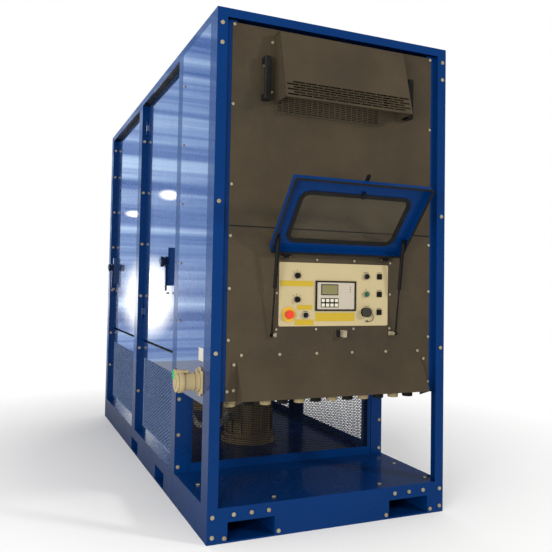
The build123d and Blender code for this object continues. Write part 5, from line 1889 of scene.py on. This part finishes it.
    @staticmethod
    def backcloth(name: str, x: tuple[float, float], z: tuple[float, float], y: float,
                  material: bpy.types.Material) -> None:
        """Upright sheet that faces forward and shows in reflections alone.

        Args:
            name: Name of the sheet.
            x: Its limits along X.
            z: Its limits along Z.
            y: Where it stands.
            material: What it is made of.
        """
        Bench.clear()
        bpy.ops.mesh.primitive_plane_add(size=1, rotation=(math.pi / 2, 0, 0),
                                         location=(sum(x) / 2, y, sum(z) / 2))
        sheet = bpy.context.object
        sheet.name = name
        sheet.scale = (x[1] - x[0], z[1] - z[0], 1)
        sheet.data.materials.append(material)
        sheet.visible_camera = False
        sheet.visible_diffuse = False
        sheet.visible_transmission = False
        sheet.visible_shadow = False

    def world(self) -> None:
        """Even surroundings for the light, seen as white behind the object and through glass, and
        as dim grey in its reflections.
        """
        world = bpy.data.worlds.new("studio")
        bpy.context.scene.world = world
        world.use_nodes = True
        nodes, links = world.node_tree.nodes, world.node_tree.links
        rays = nodes.new("ShaderNodeLightPath")
        plain = nodes["Background"]
        plain.inputs["Color"].default_value = (1.0, 1.0, 1.0, 1)
        plain.inputs["Strength"].default_value = 0.55
        seen = nodes.new("ShaderNodeBackground")
        seen.inputs["Color"].default_value = (1, 1, 1, 1)
        dim = nodes.new("ShaderNodeBackground")
        dim.inputs["Color"].default_value = (0.13, 0.14, 0.15, 1)
        most = nodes.new("ShaderNodeMath")
        most.operation = "MAXIMUM"
        links.new(rays.outputs["Is Camera Ray"], most.inputs[0])
        links.new(rays.outputs["Is Transmission Ray"], most.inputs[1])
        glossy = nodes.new("ShaderNodeMixShader")
        links.new(rays.outputs["Is Glossy Ray"], glossy.inputs["Fac"])
        links.new(plain.outputs[0], glossy.inputs[1])
        links.new(dim.outputs[0], glossy.inputs[2])
        mix = nodes.new("ShaderNodeMixShader")
        links.new(most.outputs[0], mix.inputs["Fac"])
        links.new(glossy.outputs[0], mix.inputs[1])
        links.new(seen.outputs[0], mix.inputs[2])
        links.new(mix.outputs[0], nodes["World Output"].inputs["Surface"])


# Doors by side and bay, and the nodes whose finish differs from the one that their slot names.
BAYS = tuple(f"{side.name.lower()}_{bay}" for side in Side for bay in ("front", "rear"))
OVERRIDES = {
    "cover_fittings": "black_steel",
    "cover_hinges": "grey_paint",
    "display_unit": "black_plastic",
    "door_hinges": "blue_paint",
    "lower_selector": "black_plastic",
    "outer_panels": "panel_gloss",
    "reset_button": "black_plastic",
    **{f"{name}_door": "panel_gloss" for name in BAYS},
    **{f"{name}_handle": "lock_paint" for name in BAYS},
}
GROUPS = (IntakeScreens, DividerScreen, MotorConduit, VentHood, OutletMesh, PullHandles,
          Fasteners, SeamShade, CableConnectors, ControlPanel, CoverTrim, Receptacle,
          DoorFurniture)


def main() -> None:
    """Builds the whole scene round the frame, and keeps its size."""
    paint = Paintbox(FINISHES)
    paint.dress_frame(OVERRIDES)
    for group in GROUPS:
        log.info("%s", group.__name__)
        group(paint).build()
    ElementBanks(paint).build()
    Studio().build()


if __name__ == "__main__":
    logging.basicConfig(level=logging.INFO)
    main()
